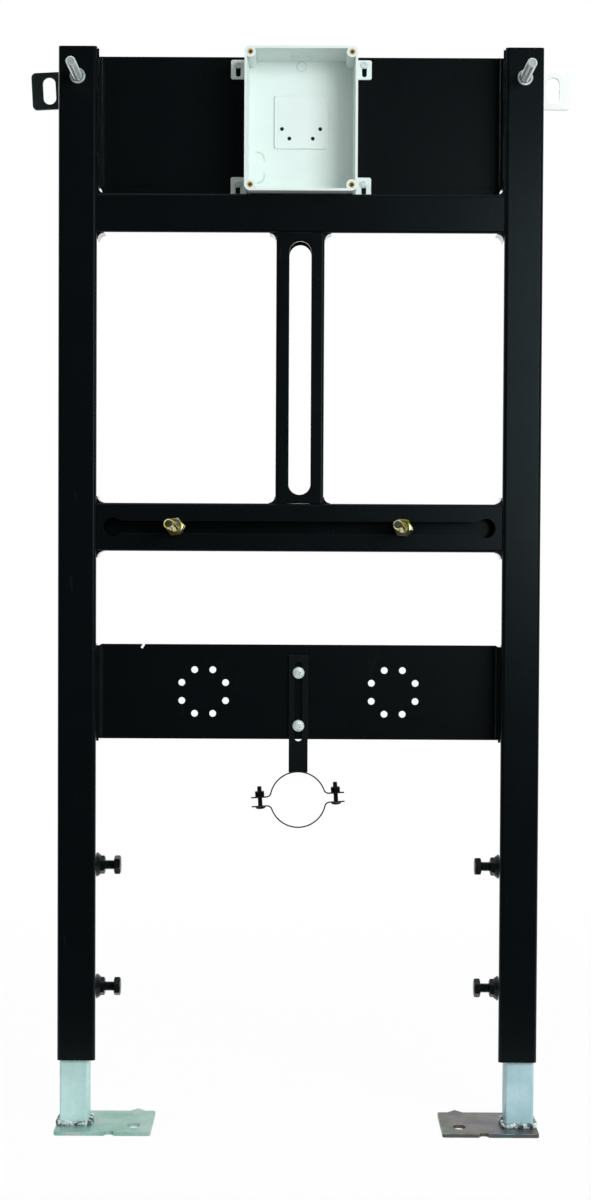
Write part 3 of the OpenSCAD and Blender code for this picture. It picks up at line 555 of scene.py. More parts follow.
@dataclass(frozen=True)
class Finishes:
    """The finishes of this frame."""

    coat: BlackEnamel = BlackEnamel()
    sheet: BlackEnamel = BlackEnamel("black_sheet_enamel", roughness=0.3, ior=1.16, wave_scale=320.0)
    small: BlackEnamel = BlackEnamel("black_small_parts", base=(0.005, 0.0056, 0.006),
                                     roughness=0.36, wear_and_highlight=0.7, wave_scale=800.0)
    fitting: BlackEnamel = BlackEnamel("black_fittings", base=(0.003, 0.004, 0.0044),
                                       roughness=0.36, grazing=0.0, wave_scale=800.0)
    bead: BlackEnamel = BlackEnamel("black_over_weld", roughness=0.2, grazing=0.3,
                                    wave_scale=700.0, bump_depth=0.0002)
    plastic: WhitePlastic = WhitePlastic()
    brass: Zinc = Zinc("brass", ((0.0, (0.80, 0.56, 0.22)), (1.0, (0.92, 0.72, 0.38))),
                       roughness=0.25, metallic=0.3, facets=0.1, lines=0.15)
    yellow: Zinc = Zinc("yellow_zinc", ((0.0, (0.48, 0.50, 0.12)), (0.4, (0.78, 0.62, 0.10)),
                                        (0.62, (0.80, 0.80, 0.42)), (1.0, (0.85, 0.92, 0.95))),
                        roughness=0.2, metallic=1.0, film_scale=120.0, spangle_scale=500.0)
    galvanised: Zinc = Zinc("galvanised", ((0.0, (0.58, 0.86, 0.83)), (0.5, (0.63, 0.91, 0.88)),
                                           (1.0, (0.68, 0.95, 0.92))), roughness=0.38,
                            metallic=0.3, facets=0.05, lines=0.05)
    blue: Zinc = Zinc("blue_galvanised", ((0.0, (0.46, 0.68, 0.73)), (0.5, (0.52, 0.75, 0.80)),
                                          (1.0, (0.58, 0.80, 0.85))), roughness=0.46,
                      metallic=0.3, facets=0.05, lines=0.05)
    # Right wall bracket: near-white zinc, a painted reflection of the lamp; the left bracket is the same
    # part.
    painted_highlight_bracket: Zinc = Zinc("bracket_zinc_painted_highlight", ((0.0, (0.94, 0.96, 0.93)), (1.0, (0.97, 0.98, 0.95))),
                      roughness=0.5, metallic=0.0, facets=0.03, lines=0.03)
    green: Zinc = Zinc("green_zinc", ((0.0, (0.26, 0.50, 0.39)), (0.5, (0.33, 0.57, 0.50)),
                                      (1.0, (0.44, 0.56, 0.50))), roughness=0.4, metallic=0.5,
                       wear_and_highlight=0.5)
    violet: Zinc = Zinc("violet_zinc", ((0.0, (0.064, 0.096, 0.100)), (0.35, (0.096, 0.082, 0.092)),
                                        (0.6, (0.100, 0.100, 0.068)), (1.0, (0.068, 0.108, 0.092))),
                        roughness=0.36, metallic=0.6, film_scale=22.0, wear_and_highlight=0.9)
    weld: Zinc = Zinc("weld_metal", ((0.0, (0.015, 0.03, 0.03)), (0.4, (0.20, 0.27, 0.27)),
                                     (0.7, (0.80, 0.88, 0.88)), (1.0, (0.95, 0.98, 0.98))),
                      roughness=0.3, metallic=0.4, film_scale=190.0, facets=0.3, bump_depth=0.0003)
    # Left wall bracket: dark zinc, painted shade and a painted dark reflection; the right bracket is the
    # same part.
    painted_shade_bracket: Zinc = Zinc("grey_zinc", ((0.0, (0.030, 0.045, 0.044)), (1.0, (0.055, 0.075, 0.074))),
                      roughness=0.42, metallic=0.5)
    disc: Zinc = Zinc("pale_screw_zinc", ((0.0, (0.62, 0.74, 0.73)), (1.0, (0.90, 0.95, 0.94))),
                      roughness=0.4, metallic=0.25, film_scale=260.0, facets=0.2)
    bright: Zinc = Zinc("bright_zinc", ((0.0, (0.70, 0.80, 0.78)), (1.0, (0.90, 0.95, 0.94))),
                        roughness=0.2, metallic=0.62, spangle_scale=420.0)


FINISHES = Finishes()


# Building meshes


class Draft:
    """Points and faces of a piece while it is built, in metres in the row frame."""

    def __init__(self) -> None:
        """Starts with nothing."""
        self.points: list[Vector] = []
        self.faces: list[tuple[int, ...]] = []

    def ring(self, points: Iterable[Vector]) -> list[int]:
        """Adds points. Args: points: the points. Returns: their numbers."""
        first = len(self.points)
        self.points.extend(points)
        return list(range(first, len(self.points)))

    def skin(self, rings: Sequence[Sequence[int]], closed: bool = True) -> None:
        """Joins rings of equal length by quads.

        Args:
            rings: the rings in order, each running anticlockwise seen from the far end.
            closed: whether each ring closes on itself.
        """
        for low, high in zip(rings, rings[1:]):
            count = len(low)
            for i in range(count if closed else count - 1):
                j = (i + 1) % count
                self.faces.append((low[i], low[j], high[j], high[i]))

    def cap(self, ring: Sequence[int], turned: bool = False) -> None:
        """Closes a ring by one face. Args: ring: its points. turned: whether it faces back."""
        self.faces.append(tuple(reversed(ring)) if turned else tuple(ring))

    def turned(self, profile: Sequence[tuple[float, float]], where: Matrix, count: int = 48) -> None:
        """Adds a body turned about its own Z axis, closed at both ends.

        Args:
            profile: radius and height pairs from the low end to the high end, in millimetres.
            where: place of the body.
            count: number of segments.
        """
        rings = []
        for radius, height in profile:
            rings.append(self.ring(where @ (MM * Vector((
                radius * math.cos(2 * math.pi * i / count),
                radius * math.sin(2 * math.pi * i / count), height))) for i in range(count)))
        self.skin(rings)
        self.cap(rings[0], True)
        self.cap(rings[-1])

    def piece(self, name: str, finish: Finish, body: Body, slot: Slot,
              nodes: Sequence[str] = (), sharp: float = 32.0) -> bpy.types.Object:
        """Makes the object and puts it on its body.

        Args:
            name: the piece's name.
            finish: its finish.
            body: the body that it rides on.
            slot: the record's material slot; not used.
            nodes: CAD nodes that it replaces.
            sharp: angle in degrees above which an edge stays sharp.

        Returns:
            The new object.
        """
        mesh = bpy.data.meshes.new(name)
        mesh.from_pydata([tuple(p) for p in self.points], [], self.faces)
        mesh.validate()
        mesh.shade_smooth()
        mesh.set_sharp_from_angle(angle=math.radians(sharp))
        mesh.materials.append(finish.material())
        made = bpy.data.objects.new(name, mesh)
        bpy.context.scene.collection.objects.link(made)
        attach(made, body.value)
        if nodes:
            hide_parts(*nodes)
        LOG.info("%s: %d faces on %s", name, len(mesh.polygons), body.value)
        return made


def aimed(origin: Point, along: Vector, spin: float = 0.0) -> Matrix:
    """A place whose Z axis runs along a direction.

    Args:
        origin: the place's origin in millimetres.
        along: direction of its Z axis.
        spin: turn about that axis, in degrees.

    Returns:
        The place as a matrix in metres.
    """
    turn = along.to_track_quat("Z", "Y").to_matrix().to_4x4()
    return Matrix.Translation(MM * Vector(origin)) @ turn @ Matrix.Rotation(math.radians(spin), 4, "Z")


FRONT = Vector((0.0, -1.0, 0.0))
BACK = Vector((0.0, 1.0, 0.0))
UP = Vector((0.0, 0.0, 1.0))
DOWN = Vector((0.0, 0.0, -1.0))


@dataclass
class Thread:
    """Screw thread on a rod."""

    diameter: float
    pitch: float
    around: int = 28
    per_pitch: int = 6

    def cut(self, draft: Draft, where: Matrix, length: float, start: float = 0.0,
            phase: float = 0.0) -> None:
        """Adds the threaded rod, chamfered at its far end and closed at both.

        Args:
            draft: the piece.
            where: place of the rod, which runs along its Z axis.
            length: height of the far end, in millimetres.
            start: height of the near end, in millimetres.
            phase: share of a turn by which the thread is shifted.
        """
        top = self.diameter / 2
        depth = 0.5 * self.pitch
        chamfer = 0.12 * self.diameter
        count = max(2, int((length - start) / self.pitch * self.per_pitch))
        rings = []
        for k in range(count + 1):
            height = start + (length - start) * k / count
            limit = top - max(0.0, chamfer - (length - height))
            points = []
            for i in range(self.around):
                share = i / self.around
                wave = (height / self.pitch - share + phase) % 1.0
                groove = max(0.0, 1.0 - abs(wave - 0.5) / 0.38)
                radius = min(limit, top - depth * min(1.0, 1.15 * groove))
                angle = 2 * math.pi * share
                points.append(where @ (MM * Vector((radius * math.cos(angle),
                                                    radius * math.sin(angle), height))))
            rings.append(draft.ring(points))
        draft.skin(rings)
        draft.cap(rings[0], True)
        draft.cap(rings[-1])


@dataclass
class Hex:
    """Hexagon nut or head with turned corners."""

    flats: float
    thick: float
    bore: float = 0.0
    around: int = 72
    both: bool = True

    def reach(self, angle: float) -> float:
        """Distance from the axis to the hexagon's side. Args: angle: in radians."""
        sixth = math.pi / 3
        return self.flats / 2 / math.cos((angle + sixth / 2) % sixth - sixth / 2)

    def cut(self, draft: Draft, where: Matrix) -> None:
        """Adds the hexagon with its low face at the place's origin.

        Args:
            draft: the piece.
            where: place of the hexagon, which stands along its Z axis.
        """
        face = 0.47 * self.flats
        angles = [2 * math.pi * i / self.around for i in range(self.around)]

        def circle(radius: float, height: float) -> list[int]:
            """A round ring."""
            return draft.ring(where @ (MM * Vector((radius * math.cos(a), radius * math.sin(a), height)))
                              for a in angles)

        def corner(sign: float, base: float) -> list[int]:
            """The ring where the turned cone meets the hexagon's sides."""
            return draft.ring(where @ (MM * Vector((
                self.reach(a) * math.cos(a), self.reach(a) * math.sin(a),
                base + sign * (0.05 + max(0.0, self.reach(a) - face) * 0.5)))) for a in angles)

        low = [circle(face, 0.0), corner(1.0, 0.0)] if self.both else [corner(0.0, 0.0)]
        rings = low + [corner(-1.0, self.thick), circle(face, self.thick)]
        if self.bore:
            inner = [circle(self.bore / 2 + 0.5, self.thick), circle(self.bore / 2, self.thick - 0.5),
                     circle(self.bore / 2, 0.5), circle(self.bore / 2 + 0.5, 0.0)]
            draft.skin(rings + inner + [rings[0]])
        else:
            draft.skin(rings)
            draft.cap(rings[0], True)
            draft.cap(rings[-1])


@dataclass
class RoundHead:
    """Low round screw head with a cross recess."""

    radius: float
    thick: float
    around: int = 96
    across: int = 30

    def recess(self, x: float, y: float) -> float:
        """Depth of the cross recess. Args: x, y: place on the head. Returns: the depth."""
        arm, half, deep = 0.5 * self.radius, 0.085 * self.radius, 0.42 * self.thick
        depth = 0.0
        for along, over in ((abs(x), abs(y)), (abs(y), abs(x))):
            side = min(1.0, max(0.0, (1.6 * half - over) / (0.8 * half)))
            end = min(1.0, max(0.0, (arm - along) / (0.35 * arm)))
            depth = max(depth, deep * min(side, end))
        return depth

    def cut(self, draft: Draft, where: Matrix) -> None:
        """Adds the head with its flat low face at the place's origin.

        Args:
            draft: the piece.
            where: place of the head, which stands along its Z axis.
        """
        rings = []
        for k in range(self.across + 2):
            share = 1.0 if k == 0 else 1.0 - (k - 1) / self.across
            radius = max(0.02, self.radius * share)
            dome = self.thick * (0.35 + 0.65 * (1.0 - share ** 2.6) ** 0.5)
            points = []
            for i in range(self.around):
                angle = 2 * math.pi * i / self.around
                x, y = radius * math.cos(angle), radius * math.sin(angle)
                height = 0.0 if k == 0 else dome - self.recess(x, y)
                points.append(where @ (MM * Vector((x, y, height))))
            rings.append(draft.ring(points))
        draft.skin(rings)
        draft.cap(rings[0], True)
        draft.cap(rings[-1])


def dress(node: str, finish: Finish, edge: float = 0.4, segments: int = 2) -> bpy.types.Object:
    """Gives a CAD node its finish and rounds its edges a little.

    Args:
        node: the node's name.
        finish: its finish.
        edge: radius of the rounded edges in millimetres, or 0 for none.
        segments: faces across a rounded edge.

    Returns:
        The node's object.
    """
    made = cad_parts[node]
    for slot in made.material_slots:
        slot.material = finish.material()
    if edge:
        weld = made.modifiers.new("joined", "WELD")
        weld.merge_threshold = 0.00002
        bevel = made.modifiers.new("rounded", "BEVEL")
        bevel.width = edge * MM
        bevel.segments = segments
        bevel.limit_method = "ANGLE"
        bevel.angle_limit = math.radians(40)
        bevel.harden_normals = False
        smooth = made.modifiers.new("smooth", "WEIGHTED_NORMAL")
        smooth.keep_sharp = True
    LOG.info("%s: dressed", node)
    return made


# Sub-assemblies, sizes in millimetres


@dataclass
class Posts:
    """The two posts with their lock bolts."""

    lock_heights: tuple[float, float] = (147.0, 275.0)
    centre_y: float = 18.5
    tip_x: float = 217.4
    head_x: float = 192.1
    diameter: float = 10.0
    wall_x: float = 210.0
    collar_wide: float = 13.0
    collar_in: float = 9.0
    collar_high: float = 4.2

    def build(self) -> None:
        """Dresses the posts and threads the lock bolts."""
        for node in ("post_left", "post_right"):
            dress(node, FINISHES.coat, 0.3)
        dress("lock_nuts", FINISHES.fitting, 0.4)
        self.collars()
        bolts = Draft()
        for side in (-1, 1):
            for height in self.lock_heights:
                inward = Vector((-side, 0, 0))
                place = aimed((side * self.tip_x, self.centre_y, height), inward, 15 + height)
                Thread(self.diameter, 1.5).cut(bolts, place, self.tip_x - self.head_x + 0.5)
                head = aimed((side * self.head_x, self.centre_y, height), inward, 20 + 0.3 * height)
                Hex(17.0, 6.8).cut(bolts, head)
        bolts.piece("lock_bolts_threaded", FINISHES.fitting, Body.FRAME, Slot.SMALL, ["lock_bolts"])

    def collars(self) -> None:
        """Lays a rough weld collar round the foot of each lock nut."""
        draft = Draft()
        count = 64
        for side in (-1, 1):
            for height in self.lock_heights:
                place = aimed((side * self.wall_x, self.centre_y, height), Vector((-side, 0, 0)))
                rings = []
                for j in range(7):
                    share = j / 6
                    points = []
                    for i in range(count):
                        a = 2 * math.pi * i / count
                        rough = noise.noise(Vector((2.2 * math.cos(a), 2.2 * math.sin(a), height)))
                        wide = self.collar_wide * (1.0 + 0.07 * rough)
                        radius = wide + (self.collar_in - wide) * share ** 0.8
                        rise = self.collar_high * math.sin(math.pi / 2 * share) * (1 + 0.15 * rough)
                        points.append(place @ (MM * Vector((radius * math.cos(a),
                                                            radius * math.sin(a), rise))))
                    rings.append(draft.ring(points))
                foot = draft.ring(place @ (MM * Vector((
                    self.collar_in * math.cos(2 * math.pi * i / count),
                    self.collar_in * math.sin(2 * math.pi * i / count), -0.1))) for i in range(count))
                draft.skin([*rings, foot, rings[0]])
        draft.piece("lock_nut_collars", FINISHES.fitting, Body.FRAME, Slot.COAT, sharp=60)


@dataclass
class Crossbars:
    """Rails, slotted bar and the welds in their corners."""

    seam_spans: tuple[tuple[int, float, float], ...] = (
        (-1, 1036.0, 1082.0), (-1, 1090.0, 1112.0), (-1, 1000.0, 1014.0),
        (1, 1088.0, 1110.0), (1, 1030.0, 1072.0), (1, 974.5, 991.0))
    seam_x: float = 209.6
    seam_y: float = 1.2
    seam_radius: float = 1.5

    def build(self) -> None:
        """Dresses the bars and their welds."""
        for node in ("upper_rail", "mounting_rail", "slotted_bar"):
            dress(node, FINISHES.coat, 0.3)
        dress("weld_fillets", FINISHES.bead, 0.3)
        self.seams()

    def seams(self) -> None:
        """Lays the short painted beads between the posts and the upper panel's flanges."""
        draft = Draft()
        for number, (side, low, high) in enumerate(self.seam_spans):
            rings = []
            count = int((high - low) / 0.7)
            for k in range(count + 1):
                share = k / count
                height = low + (high - low) * share
                rough = noise.noise(Vector((0.22 * height, 3.1 * number, 0.0)))
                taper = min(1.0, 6 * min(share, 1 - share) + 0.12)
                radius = self.seam_radius * taper * (1 + 0.35 * rough + 0.08 * math.sin(3.2 * height))
                points = []
                for i in range(14):
                    a = 2 * math.pi * i / 14
                    points.append(MM * Vector((side * (self.seam_x + 0.4 * rough) + radius * math.cos(a),
                                               self.seam_y + 0.8 * radius * math.sin(a), height)))
                rings.append(draft.ring(points))
            draft.skin(rings)
            draft.cap(rings[0], True)
            draft.cap(rings[-1])
        draft.piece("flange_seam_welds", FINISHES.bead, Body.FRAME, Slot.COAT, sharp=60)


@dataclass
class SheetPanels:
    """The two folded panels, whose upper flanges reach on to the welds and the post fronts."""

    inner_x: float = 208.0
    outer_x: float = 210.0
    front_y: float = 1.5
    flange_y: float = 8.5
    back_y: float = 34.5
    low_z: float = 980.4
    relief_z: float = 985.0
    top_z: float = 1121.0
    tab_in: float = 200.5
    tab_out: float = 208.3
    tab_front: float = 36.55
    tab_back: float = 38.45
    tab_low: float = 953.0
    tab_high: float = 993.0

    def build(self) -> None:
        """Dresses the panels and lengthens the flanges of the upper one."""
        for node in ("top_panel", "drain_panel"):
            dress(node, FINISHES.sheet, 0.3)
        outline = [(self.front_y + 1.0, self.low_z), (self.back_y, self.low_z),
                   (self.back_y, self.relief_z), (self.flange_y, self.relief_z),
                   (self.flange_y, self.top_z), (self.front_y + 0.4, self.top_z),
                   (self.front_y, self.top_z - 0.4), (self.front_y, self.low_z + 1.0)]
        ends = Draft()
        for side in (-1, 1):
            inner, outer = side * self.inner_x, side * self.outer_x
            near, far = min(inner, outer), max(inner, outer)
            rings = [ends.ring(MM * Vector((x, y, z)) for y, z in outline) for x in (near, far)]
            ends.skin(rings)
            ends.cap(rings[0], True)
            ends.cap(rings[1])
        self.tabs(ends)
        ends.piece("top_panel_flange_ends", FINISHES.sheet, Body.FRAME, Slot.COAT)

    def tabs(self, draft: Draft) -> None:
        """Closes the gap between the flat lap and the folds. Args: draft: the piece."""
        for side in (-1, 1):
            inner, outer = side * self.tab_in, side * self.tab_out
            near, far = min(inner, outer), max(inner, outer)
            corners = [(near, self.tab_front), (far, self.tab_front), (far, self.tab_back),
                       (near, self.tab_back)]
            rings = [draft.ring(MM * Vector((x, y, z)) for x, y in corners)
                     for z in (self.tab_low, self.tab_high)]
            draft.skin(rings)
            draft.cap(rings[0], True)
            draft.cap(rings[1])


@dataclass
class WallFixings:
    """Rods through the posts, with bushes, nuts and wall brackets."""

    rod_x: float = 230.0
    rod_z: float = 1092.0
    tip_y: float = -67.5
    end_y: float = 62.5
    diameter: float = 10.0

    def build(self) -> None:
        """Threads the rods and dresses the rest."""
        dress("rod_bushes", FINISHES.bright, 0.3)
        dress("rod_nuts", FINISHES.bright, 0.3)
        # One bracket part in two finishes: the left painted dark as shade, the right painted near white as
        # the lamp's reflection.
        dress("wall_bracket_left", FINISHES.painted_shade_bracket, 0.3)
        dress("wall_bracket_right", FINISHES.painted_highlight_bracket, 0.3)
        for side, body, name in ((-1, Body.WALL_LEFT, "left"), (1, Body.WALL_RIGHT, "right")):
            dress(f"bracket_nut_{name}", FINISHES.bright, 0.2)
            rod = Draft()
            place = aimed((side * self.rod_x, self.end_y, self.rod_z), FRONT)
            Thread(self.diameter, 1.5).cut(rod, place, self.end_y - self.tip_y)
            rod.piece(f"wall_rod_{name}_threaded", FINISHES.bright, body, Slot.BRIGHT,
                      [f"wall_rod_{name}"])


@dataclass
class ValveBox:
    """Moulded box with its inserts and screws."""

    screw_x: float = 65.9
    screw_heights: tuple[float, float] = (988.4, 1112.5)
    lug_front: float = 34.0
    head: float = 8.0
    shank: float = 4.0
    pad: float = 54.0
    pad_corner: float = 3.0
    pad_front: float = 32.5
    pad_z: float = 1052.8
    rim_half: float = 0.8
    rim_high: float = 0.45

    def build(self) -> None:
        """Dresses the box and makes its screws."""
        dress("valve_box", FINISHES.plastic, 0.4)
        dress("box_inserts", FINISHES.brass, 0.2)
        screws = Draft()
        for side in (-1, 1):
            for height in self.screw_heights:
                place = aimed((side * self.screw_x, self.lug_front, height), FRONT, 0.5 * height)
                RoundHead(self.head / 2, 2.6).cut(screws, place)
                behind = aimed((side * self.screw_x, self.lug_front - 0.2, height), BACK)
                Thread(self.shank, 0.9).cut(screws, behind, 8.7)
        self.pad_rim()
        screws.piece("box_screws_headed", FINISHES.disc, Body.FRAME, Slot.BRIGHT, ["box_screws"])


    def pad_rim(self) -> None:
        """Adds the low rim round the raised pad, with rounded corners."""
        half, corner = self.pad / 2, self.pad_corner
        path = []
        for quarter in range(4):
            turn = math.pi / 2 * quarter
            for i in range(9):
                a = turn + math.pi / 2 * i / 8
                cx, cz = (half - corner) * (1, -1, -1, 1)[quarter], (half - corner) * (1, 1, -1, -1)[quarter]
                path.append((cx + corner * math.cos(a), cz + corner * math.sin(a), a))
        rim = Draft()
        rings: list[list[int]] = [[] for _ in range(7)]
        for x, z, a in path:
            for j in range(7):
                b = math.pi * j / 6
                r, h = self.rim_half * math.cos(b), self.rim_high * math.sin(b)
                rings[j] += rim.ring([MM * Vector((x + math.cos(a) * r, self.pad_front + 0.05 - h,
                                                   self.pad_z + z + math.sin(a) * r))])
        rim.skin([*rings, rings[0]])
        rim.piece("box_pad_rim", FINISHES.plastic, Body.FRAME, Slot.PLASTIC)


@dataclass
class UrinalBolts:
    """The two bolts in the slot of the mounting rail, with their nuts."""

    starts: tuple[float, float] = (-128.0, 108.0)
    leans: tuple[float, float] = (3.0, 8.0)
    up: float = 2.5
    front_y: float = 0.5
    height: float = 629.0
    reach: float = 64.0
    diameter: float = 10.0
    wall: float = 2.0

    def build(self) -> None:
        """Threads the bolts and makes their nuts."""
        for x, lean, body, name in zip(self.starts, self.leans, (Body.BOLT_LEFT, Body.BOLT_RIGHT),
                                       ("left", "right")):
            a, b = math.radians(lean), math.radians(self.up)
            along = Vector((-math.sin(a) * math.cos(b), -math.cos(a) * math.cos(b), math.sin(b)))
            slant = math.sqrt(1 - (math.cos(a) * math.cos(b)) ** 2)
            lift = 1.7 * self.diameter / 2 / math.cos(math.pi / 6) * slant + 0.3
            place = aimed((x, self.front_y, self.height), along, 12 + 9 * lean)
            bolt = Draft()
            back = -(self.wall + lift + 6.8)
            Hex(17.0, 6.8).cut(bolt, place @ Matrix.Translation((0, 0, back * MM)))
            Thread(self.diameter, 1.5).cut(bolt, place, self.reach, back + 6.3)
            bolt.piece(f"urinal_bolt_{name}_threaded", FINISHES.yellow, body, Slot.YELLOW,
                       [f"urinal_bolt_{name}"])
            nut = Draft()
            Hex(17.0, 8.0, 9.0).cut(nut, place @ Matrix.Translation((0, 0, lift * MM)))
            nut.piece(f"urinal_nut_{name}_turned", FINISHES.yellow, body, Slot.YELLOW,
                      [f"urinal_nut_{name}"])


@dataclass
class DrainClamp:
    """Hanger strap, clamp bands and their screws."""

    bolt_heights: tuple[float, float] = (420.6, 476.4)
    strap_front: float = 33.2
    centre: Point = (0.0, 34.7, 343.6)
    turn: float = 3.7
    screw_x: float = 40.0
    grip: float = 5.5

    def build(self) -> None:
        """Dresses the clamp and makes its bolts and screws."""
        for node in ("hanger_strap", "clamp_upper", "clamp_lower"):
            dress(node, FINISHES.small, 0.25)
        dress("hanger_nuts", FINISHES.bright, 0.2)
        bolts = Draft()
        for height in self.bolt_heights:
            head = aimed((0.0, self.strap_front - 0.3, height), FRONT, 17 if height > 450 else 40)
            RoundHead(6.2, 4.4).cut(bolts, head)
            shank = aimed((0.0, self.strap_front - 0.8, height), BACK)
            Thread(8.0, 1.25).cut(bolts, shank, 14.5)
        bolts.piece("hanger_bolts_threaded", FINISHES.disc, Body.FRAME, Slot.BRIGHT, ["hanger_bolts"])
        screws, nuts = Draft(), Draft()
        spin = Matrix.Rotation(math.radians(-self.turn), 4, "Y")
        middle = Matrix.Translation(MM * Vector(self.centre)) @ spin
        for side in (-1, 1):
            axis = middle @ Matrix.Translation((side * self.screw_x * MM, 0, 0))
            head = axis @ Matrix.Translation((0, 0, -(self.grip + 3.4) * MM))
            turned = head @ Matrix.Translation((0, 0, 3.4 * MM)) @ Matrix.Rotation(math.pi, 4, "X")
            RoundHead(5.5, 3.4).cut(screws, turned)
            Thread(5.0, 0.8).cut(screws, axis, self.grip + 9.8, -self.grip - 0.4)
            Hex(9.6, 4.6, 4.4).cut(nuts, axis @ Matrix.Translation((0, 0, self.grip * MM)))
        screws.piece("clamp_screws_threaded", FINISHES.fitting, Body.CLAMP, Slot.SMALL, ["clamp_screws"])
        nuts.piece("clamp_nuts_turned", FINISHES.fitting, Body.CLAMP, Slot.SMALL, ["clamp_nuts"])


@dataclass
class Legs:
    """Leg tubes, foot plates and the weld around each leg."""

    centre_x: float = 232.7
    centre_y: float = 18.5
    side: float = 30.0
    corner: float = 3.0
    plate: float = 4.0
    bead: float = 4.6
    step: float = 0.6

    def build(self) -> None:
        """Dresses the legs and lays their weld beads."""
        for side, body, name in ((-1, Body.LEG_LEFT, "left"), (1, Body.LEG_RIGHT, "right")):
            dress(f"leg_tube_{name}", FINISHES.galvanised if side < 0 else FINISHES.blue, 0.3)
            dress(f"foot_plate_{name}", FINISHES.green if side < 0 else FINISHES.violet, 0.4)
            self.bead_around(side, body, name)

    def outline(self) -> list[tuple[float, float, float, float]]:
        """The leg's outline. Returns: place and outward direction of each point."""
        flat = self.side / 2 - self.corner
        points = []
        for quarter in range(4):
            turn = math.pi / 2 * quarter
            c, s = math.cos(turn), math.sin(turn)
            count = int(2 * flat / self.step)
            for i in range(count):
                x, y = self.side / 2, -flat + 2 * flat * i / count
                points.append((x * c - y * s, x * s + y * c, c, s))
            for i in range(8):
                a = math.pi / 2 * i / 8
                x, y = flat + self.corner * math.cos(a), flat + self.corner * math.sin(a)
                points.append((x * c - y * s, x * s + y * c, math.cos(a + turn), math.sin(a + turn)))
        return points

    def bead_around(self, side: int, body: Body, name: str) -> None:
        """Lays one rippled bead around a leg.

        Args:
            side: -1 for the left leg, 1 for the right.
            body: the body that it rides on.
            name: left or right.
        """
        draft = Draft()
        rings: list[list[int]] = [[] for _ in range(8)]
        for k, (x, y, nx, ny) in enumerate(self.outline()):
            swell = noise.noise(Vector((x * 0.25, y * 0.25, side * 3.0)))
            ripple = 0.5 + 0.5 * math.sin(k * self.step * 2.4 + 3 * swell)
            out = self.bead * (0.95 + 0.3 * swell + 0.12 * ripple)
            high = self.bead * (0.95 - 0.35 * swell + 0.15 * ripple)
            for j in range(7):
                a = math.pi / 2 * j / 6
                bulge = 0.82 + 0.22 * math.sin(2 * a) * (0.8 + 0.4 * ripple)
                r, h = out * math.cos(a) * bulge - 0.15, high * math.sin(a) * bulge
                rings[j] += draft.ring([MM * Vector((side * self.centre_x + x + nx * r,
                                                     self.centre_y + y + ny * r, self.plate + h))])
            rings[7] += draft.ring([MM * Vector((side * self.centre_x + x - 0.15 * nx,
                                                 self.centre_y + y - 0.15 * ny, self.plate - 0.1))])
        draft.skin([*rings, rings[0]])
        draft.piece(f"foot_weld_{name}_rippled", FINISHES.weld, body, Slot.WELD, [f"foot_weld_{name}"], 60)


# Studio


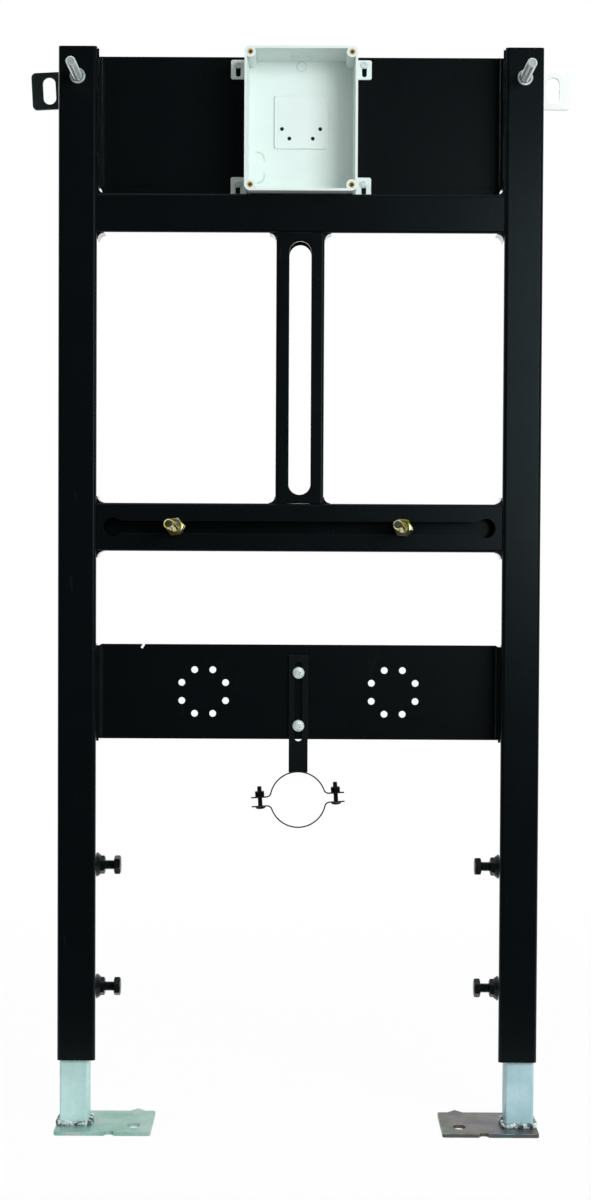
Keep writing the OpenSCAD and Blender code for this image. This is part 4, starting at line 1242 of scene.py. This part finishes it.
@dataclass
class Studio:
    """Floor, soft light, white surroundings and the camera."""

    eye: Point = (0.0013, -2.0935, 0.611)
    pitch: float = -1.558
    yaw: float = 0.13
    roll: float = 0.27
    lens: float = 60.66
    sensor: float = 36.0
    ambient: float = 0.45
    dark_front: float = 0.04
    lamp_power: float = 8.5
    fill_power: float = 41.0
    floor_half: float = 4.0
    floor_share: float = 0.97
    floor_bounce: float = 0.4

    def build(self) -> None:
        """Sets the camera, the floor, the lamp and the surroundings."""
        self.camera()
        self.floor()
        self.lamp("soft_lamp", (0.95, -2.1, 0.95), (1.1, 0.95), self.lamp_power)
        self.lamp("side_lamp", (1.35, -2.1, 1.45), (1.2, 0.9), self.fill_power, False)
        self.surroundings()

    def camera(self) -> None:
        """Puts the camera at the photograph's place."""
        data = bpy.data.cameras.new("camera")
        data.lens = self.lens
        data.sensor_width = self.sensor
        made = bpy.data.objects.new("camera", data)
        bpy.context.scene.collection.objects.link(made)
        turn = (Matrix.Rotation(math.radians(self.yaw), 4, "Z")
                @ Matrix.Rotation(math.radians(90 + self.pitch), 4, "X")
                @ Matrix.Rotation(math.radians(self.roll), 4, "Z"))
        made.matrix_world = Matrix.Translation(self.eye) @ turn
        bpy.context.scene.camera = made

    def floor(self) -> None:
        """Lays a white floor that keeps a faint shadow.

        It is clear to the camera and from below, so legs that are drawn out under it still show.
        """
        material = bpy.data.materials.new("studio_floor")
        material.use_nodes = True
        material.node_tree.nodes.clear()
        g = Graph(material.node_tree)
        path = g.add("LightPath").outputs
        colour = g.blend(path["Is Diffuse Ray"], (0.86, 0.87, 0.87), (self.floor_bounce,) * 3)
        paper = g.add("BsdfDiffuse", {"Color": colour}).outputs[0]
        depth = g.add("SeparateXYZ", {0: g.add("NewGeometry").outputs["Position"]}).outputs[1]
        near = g.steps(depth, -0.42, -0.05, self.dark_front, 1.0)
        seen = g.maths("MAXIMUM", path["Is Camera Ray"], path["Is Transmission Ray"])
        white = g.add("Emission", {"Color": (1.0, 1.0, 1.0, 1.0), "Strength": near}).outputs[0]
        clear = g.add("BsdfTransparent", {"Color": (1.0, 1.0, 1.0, 1.0)}).outputs[0]
        fading = g.steps(g.maths("ABSOLUTE", depth), 0.3, 1.6, self.floor_share, 1.0)
        mirrored = g.maths("MULTIPLY", path["Is Glossy Ray"], fading)
        above = g.add("MixShader", {0: mirrored, 1: paper, 2: white}).outputs[0]
        through = g.maths("MAXIMUM", g.maths("MULTIPLY", seen, fading),
                          g.add("NewGeometry").outputs["Backfacing"])
        surface = g.add("MixShader", {0: through, 1: above, 2: clear}).outputs[0]
        g.add("OutputMaterial", {"Surface": surface})
        h = self.floor_half
        mesh = bpy.data.meshes.new("studio_floor")
        mesh.from_pydata([(-h, -h, 0), (h, -h, 0), (h, h, 0), (-h, h, 0)], [], [(0, 1, 2, 3)])
        mesh.materials.append(material)
        made = bpy.data.objects.new("studio_floor", mesh)
        bpy.context.scene.collection.objects.link(made)

    @staticmethod
    def lamp(name: str, centre: Point, size: tuple[float, float], power: float,
             glossy: bool = True) -> None:
        """Hangs one soft lamp that shines at the middle of the frame.

        Args:
            name: the lamp's name.
            centre: its place in metres.
            size: its width and height in metres.
            power: its power in watts.
            glossy: whether it shows in glossy surfaces.
        """
        data = bpy.data.lights.new(name, "AREA")
        data.shape = "RECTANGLE"
        data.size, data.size_y = size
        data.energy = power
        data.color = (0.93, 0.98, 1.0)
        made = bpy.data.objects.new(name, data)
        made.visible_glossy = glossy
        bpy.context.scene.collection.objects.link(made)
        turn = (Vector((0.0, 0.0, 0.6)) - Vector(centre)).to_track_quat("-Z", "Y")
        made.matrix_world = Matrix.Translation(centre) @ turn.to_matrix().to_4x4()

    def surroundings(self) -> None:
        """Makes the world white to look at, plain for the light, and darker in front for gloss."""
        world = bpy.data.worlds.new("studio_world")
        bpy.context.scene.world = world
        world.use_nodes = True
        world.node_tree.nodes.clear()
        g = Graph(world.node_tree)
        path = g.add("LightPath").outputs
        way = g.add("SeparateXYZ", {0: g.add("TexCoord").outputs["Generated"]}).outputs
        behind = g.steps(way[1], -0.35, 0.25, self.dark_front, 1.0)
        above = g.steps(way[2], 0.35, 0.9, 0.0, 0.55)
        gloss = g.maths("MAXIMUM", behind, above)
        seen = g.maths("MAXIMUM", path["Is Camera Ray"], path["Is Transmission Ray"])
        base = g.add("Mix", {0: path["Is Glossy Ray"], 2: self.ambient, 3: gloss}).outputs[0]
        strength = g.add("Mix", {0: seen, 2: base, 3: 1.0}).outputs[0]
        sky = g.add("Background", {"Color": (1.0, 1.0, 1.0, 1.0), "Strength": strength}).outputs[0]
        g.add("OutputWorld", {"Surface": sky})
        bpy.context.scene.view_settings.view_transform = "Standard"


def main() -> None:
    """Builds every sub-assembly in order."""
    logging.basicConfig(level=logging.INFO, format="%(name)s: %(message)s")
    for part in (Studio(), Posts(), Crossbars(), SheetPanels(), WallFixings(), ValveBox(),
                 UrinalBolts(), DrainClamp(), Legs()):
        LOG.info("building %s", type(part).__name__)
        part.build()


if __name__ == "__main__":
    main()
